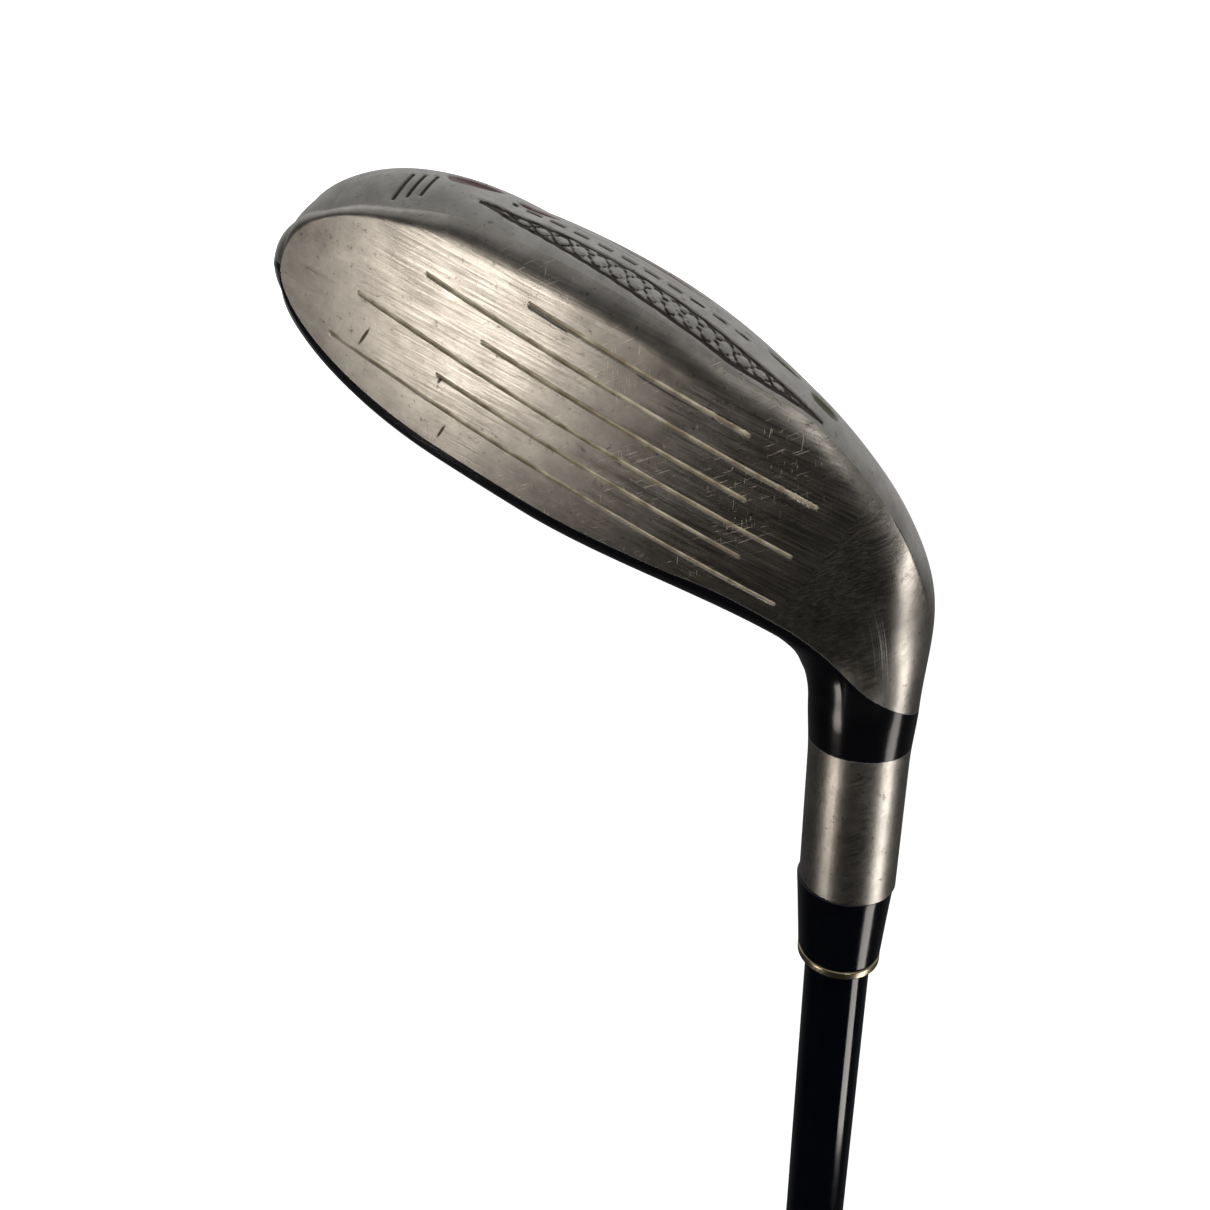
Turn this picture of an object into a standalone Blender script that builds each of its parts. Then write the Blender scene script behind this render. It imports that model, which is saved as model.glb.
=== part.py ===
"""Hybrid golf club, number 3, left-handed: a hollow steel head with a steel hosel, on a graphite shaft
with a rubber grip.

The club stands head up. The shaft axis is Z, the butt of the grip is at z = 0 and the head is at the top.
The face looks along -Y. The head is modelled in its address pose (x toward the toe, y to the rear, z up
from the ground) and an empty turns it onto the shaft axis, so its sole faces +X and up.
"""

import math

import bmesh
import bpy
import numpy as np
from mathutils import Matrix, Vector

MM = 0.001

# Club
CLUB_LENGTH = 1.016                 # butt to where the shaft axis meets the ground: 40 in
LIE = math.radians(60.5)
LOFT = math.radians(19.0)
FIT_GAP = 0.3 * MM                  # between pieces whose surfaces curve
FLAT_GAP = 0.08 * MM                # between turned pieces whose facets line up

# Head, address pose
AXIS_X = -28.0 * MM                 # where the shaft axis meets the ground
AXIS_Y = 19.0 * MM
BULGE_RADIUS = 300.0 * MM
ROLL_RADIUS = 285.0 * MM
FACE_MIDDLE = 17.0 * MM             # height of the roll's middle, up the face
NECK_RADIUS = 6.8 * MM
NECK_FLARE = 0.45 * MM
CROOK_RADIUS = 11.0 * MM            # the hollow between the neck and the crown
CROOK_X = -31.2 * MM                # centre of that hollow
CROOK_Z = 42.1 * MM
NECK_END = 38.2 * MM                # along the shaft axis from the ground: the neck starts to bend
HOSEL_TOP = 65.9 * MM
TOE_X = 46.6 * MM
FACE_TOE_X = 43.4 * MM
TOE_Z = 20.5 * MM                   # height of the toe's tip
CROWN_Z = 32.7 * MM
CROWN_DROP = 3.3 * MM               # the crown falls this much toward the heel
SOLE_Z = -2.1 * MM
SOLE_CAMBER = 4.9                   # rise of the sole per metre of distance squared
SOLE_LOW_X = 3.0 * MM
HEEL_CAMBER = 6.0                   # and this much more past the heel's start
HEEL_CAMBER_X = -20.0 * MM
REAR_Y = 51.0 * MM
LIP = 1.9 * MM                      # face edge to crown
LEADING_EDGE = 6.5 * MM             # face edge to the sole's lowest line
HEEL_FULLNESS = 0.6 * MM            # swell of the heel's outside over an even curve
HEEL_SOFTENING = 5.0 * MM           # the leading edge grows this much as it runs into the neck
LIP_SOFTENING = 3.0 * MM

# Walls and weld lines
FACE_WALL = 2.7 * MM
SHELL_WALL = 2.0 * MM
FACE_HEEL_X = -30.0 * MM            # heel end of the face cup
SOLE_SPLIT_Z = 6.0 * MM             # weld line of the sole plate
CAVITY_HEEL_BEND = 36.0             # degrees of bend at which the cavity starts
CAVITY_TOE_X = 40.0 * MM

# Score lines: height up the face, toe end and heel end of each, from the sole up
SCORE_LINES = (
    (7.1, 12.2, -14.8),
    (10.9, 24.3, -25.3),
    (14.5, 15.8, -18.3),
    (18.4, 32.0, -26.4),
    (22.0, 19.7, -21.4),
    (26.0, 34.8, -28.3),
)
SCORE_WIDTH = 0.8 * MM
SCORE_DEPTH = 0.4 * MM

# Shaft, ferrule and grip
TIP_RADIUS = 4.7 * MM
BUTT_RADIUS = 7.62 * MM
TIP_DEPTH = 32.3 * MM               # of shaft inside the hosel
TIP_PARALLEL = 100.0 * MM
TIP_WALL = 1.7 * MM
BUTT_WALL = 0.9 * MM
FERRULE_LENGTH = 12.6 * MM
FERRULE_END_RADIUS = 5.95 * MM
RING_LENGTH = 1.3 * MM
GRIP_LENGTH = 0.267
GRIP_WALL_GAP = 0.1 * MM
TAPE_WALL = 0.25 * MM
CAP_RADIUS = 13.3 * MM
CAP_HEIGHT = 6.0 * MM
CAP_FLAT = 10.5 * MM
VENT_RADIUS = 1.3 * MM
MOUTH_RADIUS = 8.9 * MM
ROUND_STEPS = 40

# Sections of the head, round each station: points on the face, lip, crown, rear, sole and leading edge
SECTION_POINTS = (7, 3, 7, 4, 9, 4)
FRONT_POINTS = 3                    # of the sole's points, on the short rise to the leading edge
SECTION_ARCS = (38, 132, 150, 225, 290, 375, 398)   # where those parts lie on the round neck, degrees


def clear_scene():
    """Removes everything that the startup scene holds."""
    for item in list(bpy.data.objects):
        bpy.data.objects.remove(item, do_unlink=True)


def new_collection(name):
    group = bpy.data.collections.new(name)
    bpy.context.scene.collection.children.link(group)
    return group


def material(name, colour, roughness, metallic):
    """A Principled BSDF material of one colour."""
    made = bpy.data.materials.new(name)
    made.use_nodes = True
    shader = made.node_tree.nodes["Principled BSDF"]
    shader.inputs["Base Color"].default_value = (*colour, 1.0)
    shader.inputs["Roughness"].default_value = roughness
    shader.inputs["Metallic"].default_value = metallic
    return made


def add_object(name, mesh, group, finish=None, parent=None):
    obj = bpy.data.objects.new(name, mesh)
    group.objects.link(obj)
    if finish:
        mesh.materials.append(finish)
    if parent:
        obj.parent = parent
    return obj


def add_cutter(name, mesh, parent=None):
    obj = add_object(name, mesh, cutters, parent=parent)
    obj.hide_render = True
    obj.display_type = "WIRE"
    return obj


def shade_round(mesh, angle=35.0):
    mesh.shade_smooth()
    mesh.set_sharp_from_angle(angle=math.radians(angle))


def boolean(obj, other, operation):
    """Adds an exact Boolean modifier."""
    step = obj.modifiers.new(f"{operation.lower()} {other.name}", "BOOLEAN")
    step.operation = operation
    step.object = other
    step.solver = "EXACT"
    return step


# ---------------------------------------------------------------- the head's outlines


def eased(share):
    """Rises from 0 to 1 with level ends."""
    share = min(max(share, 0.0), 1.0)
    return share * share * (3.0 - 2.0 * share)


def rounded(x, start, end):
    """Quarter ellipse: 1 at start, falling to 0 at end."""
    share = min(max((x - start) / (end - start), 0.0), 1.0)
    return math.sqrt(max(1.0 - share * share, 0.0))


def face_y(x, z):
    """Depth of the face at (x, z): a lofted plane that falls away by its bulge and its roll."""
    height = z / math.cos(LOFT)
    for _ in range(3):
        sag = x * x / (2 * BULGE_RADIUS) + (height - FACE_MIDDLE) ** 2 / (2 * ROLL_RADIUS)
        height = (z + sag * math.sin(LOFT)) / math.cos(LOFT)
    return height * math.sin(LOFT) + sag * math.cos(LOFT)


def crown_z(x):
    """Height of the crown just behind the face."""
    base = CROWN_Z - CROWN_DROP * eased((5 * MM - x) / (36 * MM))
    return TOE_Z + (base - TOE_Z) * rounded(x, 17 * MM, TOE_X)


def sole_z(x):
    """Lowest height of the sole: cambered from heel to toe, then rounded up to the toe's tip."""
    turn = 19 * MM
    base = SOLE_Z + SOLE_CAMBER * (min(x, turn) - SOLE_LOW_X) ** 2
    base += HEEL_CAMBER * max(HEEL_CAMBER_X - x, 0.0) ** 2
    return TOE_Z - (TOE_Z - base) * rounded(x, turn, TOE_X)


def face_top_z(x):
    return TOE_Z + (crown_z(min(x, 17 * MM)) - LIP - TOE_Z) * rounded(x, 17 * MM, FACE_TOE_X)


def face_low_z(x):
    turn = 18 * MM
    low = sole_z(min(x, turn)) + LEADING_EDGE
    return TOE_Z - (TOE_Z - low) * rounded(x, turn, FACE_TOE_X) ** 0.9


def crease_rise(x):
    """Height of the crease, where the leading edge turns under, above the sole's lowest line."""
    rise = 2.75 + 1.6 * eased((x / MM - 18) / 14) - 1.4 * eased((-8 - x / MM) / 14)
    return min(rise * MM, 0.3 * (TOE_Z - sole_z(x)))


def rear_y(x):
    """Plan outline of the trailing edge."""
    middle = 2 * MM
    if x > middle:
        share = (x - middle) / (TOE_X + 0.4 * MM - middle)
        return 22 * MM + (REAR_Y - 22 * MM) * (1 - share**2.3) ** 0.62
    return REAR_Y - 15.5 * MM * eased((middle - x) / (middle - CROOK_X))


def neck_radius(along):
    return NECK_RADIUS + NECK_FLARE * eased((46 * MM - along) / (9 * MM))


def heel_reach(bend):
    """Distance from the crook's centre to the heel's outside: square to the neck at first, then round to the sole."""
    share = bend / math.degrees(LIE)
    start = CROOK_RADIUS + 2 * neck_radius(NECK_END)
    end = CROOK_Z - sole_z(CROOK_X)
    step = 0.05 * MM
    lean = (sole_z(CROOK_X - step) - sole_z(CROOK_X)) / step * end * LIE
    swell = HEEL_FULLNESS * math.sin(math.pi * share) ** 2
    return start + (end - start) * eased(share) - lean * share * share * (1 - share) + swell


def crook_reach(bend):
    """Distance from the crook's centre to the hollow between neck and crown."""
    return CROOK_RADIUS + (CROOK_Z - crown_z(CROOK_X) - CROOK_RADIUS) * eased((bend - 26.0) / 34.5)


def bend_direction(bend):
    """Outward direction (x, z) of a station that has turned this many degrees from the neck."""
    angle = LIE - math.radians(bend)
    return np.array((-math.sin(angle), -math.cos(angle)))


# ---------------------------------------------------------------- stations and sections


def neck_station(along):
    radius = neck_radius(along)
    middle = CROOK_RADIUS + neck_radius(NECK_END)
    shift = (along - NECK_END) * np.array((-math.cos(LIE), math.sin(LIE)))
    return {
        "origin": np.array((CROOK_X, CROOK_Z)) + shift,
        "out": bend_direction(0.0),
        "wall": 0.0,
        "near": middle - radius,
        "far": middle + radius,
        "front": AXIS_Y - radius,
        "rear": AXIS_Y + radius,
        "low": LEADING_EDGE + HEEL_SOFTENING,
        "lip": LIP + LIP_SOFTENING,
        "rise": crease_rise(CROOK_X),
        "set_back": 0.0,
        "toe": 0.0,
    }


def elbow_station(bend):
    share = bend / math.degrees(LIE)
    softer = eased((math.degrees(LIE) - bend) / 45.0)
    rear = AXIS_Y + neck_radius(NECK_END)
    return {
        "origin": np.array((CROOK_X, CROOK_Z)),
        "out": bend_direction(bend),
        "wall": eased((bend - 2.0) / 50.0),
        "near": crook_reach(bend),
        "far": heel_reach(bend),
        "front": AXIS_Y - neck_radius(NECK_END),
        "rear": rear + (rear_y(CROOK_X) - rear) * eased(share),
        "low": LEADING_EDGE + HEEL_SOFTENING * softer,
        "lip": LIP + LIP_SOFTENING * softer,
        "rise": crease_rise(CROOK_X),
        "set_back": 0.0,
        "toe": 0.0,
    }


def head_station(x):
    past_face = min(max((x - FACE_TOE_X) / (TOE_X - FACE_TOE_X), 0.0), 1.0)
    low = TOE_Z if x > FACE_TOE_X else face_low_z(x)
    top = TOE_Z if x > FACE_TOE_X else face_top_z(x)
    return {
        "origin": np.array((x, CROOK_Z)),
        "out": np.array((0.0, -1.0)),
        "wall": 1.0,
        "near": CROOK_Z - crown_z(x),
        "far": CROOK_Z - sole_z(x),
        "front": 0.0,
        "rear": rear_y(x),
        "low": low - sole_z(x),
        "lip": crown_z(x) - top,
        "rise": crease_rise(x),
        "set_back": 6.5 * MM * (1 - math.sqrt(1 - past_face**2)),
        "toe": eased((x - 20 * MM) / (20 * MM)),
    }


def curve_points(controls, count):
    """Bezier curve through its control points, without its last point."""
    points = [np.array(point) for point in controls]
    degree = len(points) - 1
    share = np.linspace(0.0, 1.0, count, endpoint=False)[:, None]
    return sum(
        math.comb(degree, k) * share**k * (1 - share) ** (degree - k) * points[k] for k in range(degree + 1)
    )


def wall_section(station):
    """Section of the head in (distance from the crook's axis, y): face, lip, crown, rear, sole, leading edge."""
    near, far = station["near"], station["far"]
    height = far - near

    def on_face(reach):
        x, z = station["origin"] + reach * station["out"]
        return face_y(x, z) + station["set_back"]

    lip, low, toe = station["lip"], station["low"], station["toe"]
    depth = station["rear"] - on_face(near)
    top = (near + lip, on_face(near + lip))
    bottom = (far - low, on_face(far - low))
    lip_corner = (near, on_face(near) + 0.35 * lip)
    crown_start = (near, lip_corner[1] + max(1.6 * min(lip, 2.5 * MM), 0.05 * depth))
    rear_corner = np.array((far - 0.30 * height, station["rear"] + 0.9 * MM))
    rear_top = np.array((near + 0.47 * height, station["rear"] - 0.10 * depth))
    rear_low = np.array((far - 0.235 * height, station["rear"] - 0.075 * depth))
    crease_reach = far - station["rise"]
    turn_reach = crease_reach - 0.45 * (low - station["rise"])
    turn = (turn_reach, on_face(turn_reach) - 0.15 * MM)
    set_in = 1.3 * MM * min(low / LEADING_EDGE, 1.0) + 0.14 * low * toe
    crease = np.array((crease_reach, on_face(crease_reach) + set_in))
    lowest = np.array((far, crease[1] + 0.19 * depth))
    to_rear = (rear_corner - rear_top) / np.linalg.norm(rear_corner - rear_top)
    to_sole = (rear_low - rear_corner) / np.linalg.norm(rear_low - rear_corner)
    face_reach = np.linspace(bottom[0], top[0], SECTION_POINTS[0], endpoint=False)
    face = np.array([(reach, on_face(reach)) for reach in face_reach])
    crown = (crown_start, np.add(crown_start, (0, 0.42 * depth)), rear_top - 0.30 * depth * to_rear, rear_top)
    sole = (rear_low, rear_low + 0.28 * depth * to_sole, lowest + (0, 0.21 * depth), lowest)
    return np.concatenate(
        (
            face,
            curve_points((top, lip_corner, crown_start), SECTION_POINTS[1]),
            curve_points(crown, SECTION_POINTS[2]),
            curve_points((rear_top, rear_corner, rear_low), SECTION_POINTS[3]),
            curve_points(sole, SECTION_POINTS[4] - FRONT_POINTS),
            curve_points((lowest, lowest - (0, 0.10 * depth), crease), FRONT_POINTS),
            curve_points((crease, turn, bottom), SECTION_POINTS[5]),
        )
    )


def round_section(station):
    """The same points on the neck's ellipse."""
    pieces = [
        np.linspace(start, end, count, endpoint=False)
        for start, end, count in zip(SECTION_ARCS, SECTION_ARCS[1:], SECTION_POINTS)
    ]
    angle = np.radians(np.concatenate(pieces))
    middle = (station["near"] + station["far"]) / 2
    half = (station["far"] - station["near"]) / 2
    centre = (station["front"] + station["rear"]) / 2
    deep = (station["rear"] - station["front"]) / 2
    return np.stack((middle + half * np.cos(angle), centre - deep * np.sin(angle)), axis=1)


def section(station, inset=0.0):
    """World points of a station's section, moved inward by the inset."""
    flat = round_section(station)
    if station["wall"] > 0:
        flat = flat * (1 - station["wall"]) + wall_section(station) * station["wall"]
    if inset:
        along = np.roll(flat, -1, axis=0) - np.roll(flat, 1, axis=0)
        along /= np.linalg.norm(along, axis=1)[:, None]
        inward = np.stack((along[:, 1], -along[:, 0]), axis=1)
        if (inward * (flat.mean(axis=0) - flat)).sum() < 0:
            inward = -inward
        flat = flat + inset * inward
    x = station["origin"][0] + flat[:, 0] * station["out"][0]
    z = station["origin"][1] + flat[:, 0] * station["out"][1]
    return np.stack((x, flat[:, 1], z), axis=1)


def loft_mesh(name, rings):
    """A closed solid through rings of equal length, with a flat cap at each end."""
    form = bmesh.new()
    rows = [[form.verts.new(point) for point in ring] for ring in rings]
    for row, following in zip(rows, rows[1:]):
        for k, corner in enumerate(row):
            after = (k + 1) % len(row)
            form.faces.new((corner, row[after], following[after], following[k]))
    form.faces.new(rows[0][::-1])
    form.faces.new(rows[-1])
    bmesh.ops.remove_doubles(form, verts=form.verts, dist=0.01 * MM)
    bmesh.ops.triangulate(form, faces=[face for face in form.faces if len(face.verts) > 4])
    bmesh.ops.recalc_face_normals(form, faces=form.faces)
    mesh = bpy.data.meshes.new(name)
    form.to_mesh(mesh)
    form.free()
    shade_round(mesh)
    return mesh


def head_mesh():
    """The head's outside with its neck and hosel, as one solid."""
    neck = [neck_station(along) for along in np.linspace(HOSEL_TOP, NECK_END, 6, endpoint=False)]
    elbow = [elbow_station(bend) for bend in np.linspace(0, math.degrees(LIE), 13, endpoint=False)]
    turn = np.sin(np.linspace(0, math.pi / 2, 26))
    head = [head_station(CROOK_X + (FACE_TOE_X - CROOK_X) * share) for share in turn]
    skirt = np.sin(np.linspace(0, math.pi / 2, 6))[1:-1]
    toe = [head_station(FACE_TOE_X + (TOE_X - FACE_TOE_X) * share) for share in skirt]
    last = head_station(TOE_X - 0.03 * MM)
    return loft_mesh("head outside", [section(station) for station in (*neck, *elbow, *head, *toe, last)])


def cavity_mesh():
    """The hollow inside the head, from the heel's bend to the toe, cut straight across the leading edge's corner."""
    elbow = [elbow_station(bend) for bend in np.linspace(CAVITY_HEEL_BEND, math.degrees(LIE), 5, endpoint=False)]
    head = [head_station(x) for x in np.linspace(CROOK_X, CAVITY_TOE_X, 12)]
    corner_points = FRONT_POINTS - 1 + SECTION_POINTS[5]
    return loft_mesh("head cavity", [section(station, SHELL_WALL)[:-corner_points] for station in (*elbow, *head)])


def face_slab_mesh(name, wall, heel_x):
    """Everything in front of a surface that follows the face at one wall's depth behind it."""
    xs = np.linspace(heel_x, TOE_X + 6 * MM, 18)
    zs = np.linspace(-12 * MM, 48 * MM, 10)
    depth = wall / math.cos(LOFT)
    form = bmesh.new()
    back = [[form.verts.new((x, face_y(x, z) + depth, z)) for z in zs] for x in xs]
    front = [[form.verts.new((x, -30 * MM, z)) for z in zs] for x in xs]
    for i in range(len(xs) - 1):
        for j in range(len(zs) - 1):
            for sheet in (back, front):
                form.faces.new((sheet[i][j], sheet[i + 1][j], sheet[i + 1][j + 1], sheet[i][j + 1]))
    edges = [edge for edge in form.edges if edge.is_boundary]
    bmesh.ops.bridge_loops(form, edges=edges)
    bmesh.ops.recalc_face_normals(form, faces=form.faces)
    mesh = bpy.data.meshes.new(name)
    form.to_mesh(mesh)
    form.free()
    return mesh


def box_mesh(name, low, high):
    """A box between two corners."""
    form = bmesh.new()
    size = Vector(high) - Vector(low)
    middle = (Vector(high) + Vector(low)) / 2
    bmesh.ops.create_cube(form, size=1.0, matrix=Matrix.Translation(middle) @ Matrix.Diagonal((*size, 1.0)))
    mesh = bpy.data.meshes.new(name)
    form.to_mesh(mesh)
    form.free()
    return mesh


def score_mesh():
    """Six round-ended bars that cut the score lines, standing across the face surface."""
    form = bmesh.new()
    lean = Matrix.Rotation(LOFT, 4, "X").inverted()
    for height, toe_end, heel_end in SCORE_LINES:
        z = height * MM * math.cos(LOFT)
        ends = np.linspace(heel_end * MM, toe_end * MM, 9)
        half = SCORE_WIDTH / 2
        rim = [(ends[0] - half * math.sin(a), half * math.cos(a)) for a in np.radians((30, 60, 90, 120, 150))]
        rim += [(x, -half) for x in ends]
        rim += [(ends[-1] + half * math.sin(a), -half * math.cos(a)) for a in np.radians((30, 60, 90, 120, 150))]
        rim += [(x, half) for x in ends[::-1]]
        layers = []
        for depth in (-2.0 * MM, SCORE_DEPTH):
            layer = []
            for x, side in rim:
                across = lean @ Vector((0, depth, side))
                layer.append(form.verts.new((x, face_y(x, z) + across.y, z + across.z)))
            layers.append(layer)
        count = len(rim)
        for k in range(count):
            after = (k + 1) % count
            form.faces.new((layers[0][k], layers[0][after], layers[1][after], layers[1][k]))
        for layer in layers:
            form.faces.new(layer)
    bmesh.ops.triangulate(form, faces=[face for face in form.faces if len(face.verts) > 4])
    bmesh.ops.recalc_face_normals(form, faces=form.faces)
    mesh = bpy.data.meshes.new("score lines")
    form.to_mesh(mesh)
    form.free()
    return mesh


# ---------------------------------------------------------------- turned pieces


def turned(name, profile, group, finish=None, steps=ROUND_STEPS):
    """A closed (radius, z) profile turned about Z, its outer side listed from top to bottom."""
    mesh = bpy.data.meshes.new(name)
    points = [(radius, 0.0, z) for radius, z in profile]
    closed = profile[0][0] > 0
    edges = [(k, k + 1) for k in range(len(points) - 1)]
    if closed:
        edges.append((len(points) - 1, 0))
    mesh.from_pydata(points, edges, [])
    obj = add_object(name, mesh, group, finish)
    screw = obj.modifiers.new("turn", "SCREW")
    screw.axis = "Z"
    screw.steps = steps
    screw.render_steps = steps
    screw.use_merge_vertices = True
    screw.merge_threshold = 0.00001
    screw.use_smooth_shade = True
    return obj


def shaft_radius(z):
    """Outer radius: parallel at the tip, then an even taper to the butt."""
    taper_end = shaft_tip_z - TIP_PARALLEL
    share = min(max((taper_end - z) / taper_end, 0.0), 1.0)
    return TIP_RADIUS + (BUTT_RADIUS - TIP_RADIUS) * share


clear_scene()
club = new_collection("hybrid_club")
cutters = new_collection("cutters")

satin_steel = material("satin steel", (0.42, 0.41, 0.40), 0.33, 1.0)
painted_steel = material("black painted steel", (0.010, 0.011, 0.016), 0.22, 0.0)
black_graphite = material("black lacquered graphite", (0.008, 0.010, 0.020), 0.16, 0.0)
black_plastic = material("black ferrule plastic", (0.010, 0.011, 0.016), 0.20, 0.0)
trim_metal = material("silver trim", (0.62, 0.59, 0.52), 0.25, 1.0)
grip_rubber = material("black grip rubber", (0.018, 0.018, 0.018), 0.75, 0.0)
cap_rubber = material("black cap rubber", (0.022, 0.022, 0.022), 0.65, 0.0)
grip_tape_cloth = material("grip tape", (0.55, 0.50, 0.40), 0.8, 0.0)
weight_alloy = material("tungsten alloy", (0.25, 0.25, 0.26), 0.45, 1.0)
pin_brass = material("brass", (0.65, 0.47, 0.20), 0.35, 1.0)
hot_melt = material("hot melt", (0.62, 0.50, 0.22), 0.5, 0.0)
plug_plastic = material("white plug plastic", (0.75, 0.74, 0.70), 0.5, 0.0)

shaft_tip_z = CLUB_LENGTH - (HOSEL_TOP - TIP_DEPTH)
hosel_top_z = CLUB_LENGTH - HOSEL_TOP

# The head's pose: address x, y and z become the club's axes, and the shaft axis becomes Z.
to_club = Matrix(
    (
        (-math.sin(LIE), 0.0, -math.cos(LIE)),
        (0.0, 1.0, 0.0),
        (math.cos(LIE), 0.0, -math.sin(LIE)),
    )
).to_4x4()
ground_point = Vector((AXIS_X, AXIS_Y, 0.0))
pose = bpy.data.objects.new("head_pose", None)
club.objects.link(pose)
pose.matrix_world = Matrix.Translation((0, 0, CLUB_LENGTH)) @ to_club @ Matrix.Translation(-ground_point)

# ---------------------------------------------------------------- head pieces

head_outside = head_mesh()
cavity = add_cutter("cavity_cutter", cavity_mesh(), pose)
face_slab = add_cutter("face_slab", face_slab_mesh("face slab", FACE_WALL, FACE_HEEL_X), pose)
face_room = add_cutter(
    "face_room", face_slab_mesh("face room", FACE_WALL + FIT_GAP, FACE_HEEL_X - FIT_GAP), pose
)
far_side = 80 * MM
sole_slab = add_cutter(
    "sole_slab",
    box_mesh("sole slab", (-far_side, -far_side, -far_side), (far_side, far_side, SOLE_SPLIT_Z)),
    pose,
)
sole_room = add_cutter(
    "sole_room",
    box_mesh("sole room", (-far_side, -far_side, -far_side), (far_side, far_side, SOLE_SPLIT_Z + FIT_GAP)),
    pose,
)
scores = add_cutter("score_cutter", score_mesh(), pose)


def bore_cutter():
    """The shaft's bore, in the club's own axes."""
    radius = TIP_RADIUS + FIT_GAP
    bottom = shaft_tip_z + 3.9 * MM
    return turned("bore_cutter", ((0, bottom), (radius, bottom), (radius, hosel_top_z - 2 * MM),
                                  (0, hosel_top_z - 2 * MM)), cutters)


bore = bore_cutter()
bore.hide_render = True
bore.display_type = "WIRE"

# Cast steel body: crown, skirt, neck and hosel in one piece, open at the face and at the sole.
body_casting = add_object("body_casting", head_outside, club, painted_steel, pose)
boolean(body_casting, cavity, "DIFFERENCE")
boolean(body_casting, face_room, "DIFFERENCE")
boolean(body_casting, sole_room, "DIFFERENCE")
boolean(body_casting, bore, "DIFFERENCE")

# Sole plate, welded to the casting's lower rim.
sole_plate = add_object("sole_plate", head_outside.copy(), club, None, pose)
sole_plate.data.materials.clear()
sole_plate.data.materials.append(satin_steel)
boolean(sole_plate, cavity, "DIFFERENCE")
boolean(sole_plate, face_room, "DIFFERENCE")
boolean(sole_plate, sole_slab, "INTERSECT")

# Forged face cup with its leading edge, welded on in front. Six score lines are cut in it.
face_plate = add_object("face_plate", head_outside.copy(), club, None, pose)
face_plate.data.materials.clear()
face_plate.data.materials.append(satin_steel)
boolean(face_plate, face_slab, "INTERSECT")
boolean(face_plate, scores, "DIFFERENCE")


def rear_weight_mesh():
    """A round-cornered slug that is fixed inside the rear of the sole."""
    form = bmesh.new()
    place = Matrix.Translation((2 * MM, 35 * MM, 9.0 * MM)) @ Matrix.Diagonal((24 * MM, 7 * MM, 5 * MM, 1))
    bmesh.ops.create_cube(form, size=1.0, matrix=place)
    mesh = bpy.data.meshes.new("rear_weight")
    form.to_mesh(mesh)
    form.free()
    return mesh


rear_weight = add_object("rear_weight", rear_weight_mesh(), club, weight_alloy, pose)
rounding = rear_weight.modifiers.new("rounded edges", "BEVEL")
rounding.width = 1.0 * MM
rounding.segments = 2


def hot_melt_mesh():
    """A flat drop of sticky resin that holds loose grit, inside the sole near the heel."""
    form = bmesh.new()
    place = Matrix.Translation((2 * MM, 17 * MM, 2.6 * MM)) @ Matrix.Diagonal((9 * MM, 6 * MM, 1.3 * MM, 1))
    bmesh.ops.create_uvsphere(form, u_segments=20, v_segments=8, radius=1.0, matrix=place)
    mesh = bpy.data.meshes.new("hot_melt_pad")
    form.to_mesh(mesh)
    form.free()
    shade_round(mesh)
    return mesh


add_object("hot_melt_pad", hot_melt_mesh(), club, hot_melt, pose)

# ---------------------------------------------------------------- shaft and its fittings


def hosel_plug():
    """The stop at the bottom of the bore, under the shaft's tip."""
    low = shaft_tip_z + FIT_GAP
    high = low + 3.2 * MM
    turned("hosel_plug", ((0, high), (TIP_RADIUS, high), (TIP_RADIUS, low), (0, low)), club, plug_plastic)


def shaft():
    """A hollow tapered tube, open at both ends."""
    butt = CAP_HEIGHT / 2
    levels = np.linspace(shaft_tip_z - TIP_PARALLEL, butt, 7)
    outer = [(TIP_RADIUS, shaft_tip_z)] + [(shaft_radius(z), z) for z in levels]
    inner = [(BUTT_RADIUS - BUTT_WALL, butt), (TIP_RADIUS - TIP_WALL, shaft_tip_z - TIP_PARALLEL)]
    inner.append((TIP_RADIUS - TIP_WALL, shaft_tip_z))
    turned("shaft", outer + inner, club, black_graphite)


def tip_weight_pin():
    """The swing-weight pin: a plug in the shaft's tip."""
    radius = TIP_RADIUS - TIP_WALL - FIT_GAP
    high = shaft_tip_z - 0.5 * MM
    low = high - 18 * MM
    taper = 0.6 * MM
    profile = ((0, high), (radius, high), (radius, low + taper), (radius - taper, low), (0, low))
    turned("tip_weight_pin", profile, club, pin_brass)


def ferrule():
    """A tapered collar that covers the joint of shaft and hosel."""
    top = hosel_top_z - FLAT_GAP
    bottom = top - FERRULE_LENGTH
    bore_radius = TIP_RADIUS + FIT_GAP
    shares = np.linspace(0.0, 1.0, 6)
    outer = [
        (NECK_RADIUS + (FERRULE_END_RADIUS - NECK_RADIUS) * share, top - FERRULE_LENGTH * 0.94 * share)
        for share in shares
    ]
    outer.append((FERRULE_END_RADIUS - 0.35 * MM, bottom))
    turned("ferrule", outer + [(bore_radius, bottom), (bore_radius, top)], club, black_plastic)
    return bottom


def ferrule_ring(ferrule_end):
    """The trim ring under the ferrule."""
    top = ferrule_end - FLAT_GAP
    bottom = top - RING_LENGTH
    bore_radius = TIP_RADIUS + FIT_GAP
    edge = 0.3 * MM
    radius = FERRULE_END_RADIUS
    profile = (
        (radius - edge, top), (radius, top - edge), (radius, bottom + edge), (radius - edge, bottom),
        (bore_radius, bottom), (bore_radius, top),
    )
    turned("ferrule_ring", profile, club, trim_metal)


hosel_plug()
shaft()
tip_weight_pin()
ferrule_ring(ferrule())

# ---------------------------------------------------------------- grip


def tape_inner(z):
    return shaft_radius(z) + GRIP_WALL_GAP


def grip_inner(z):
    return shaft_radius(z) + 2 * GRIP_WALL_GAP + TAPE_WALL


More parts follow.
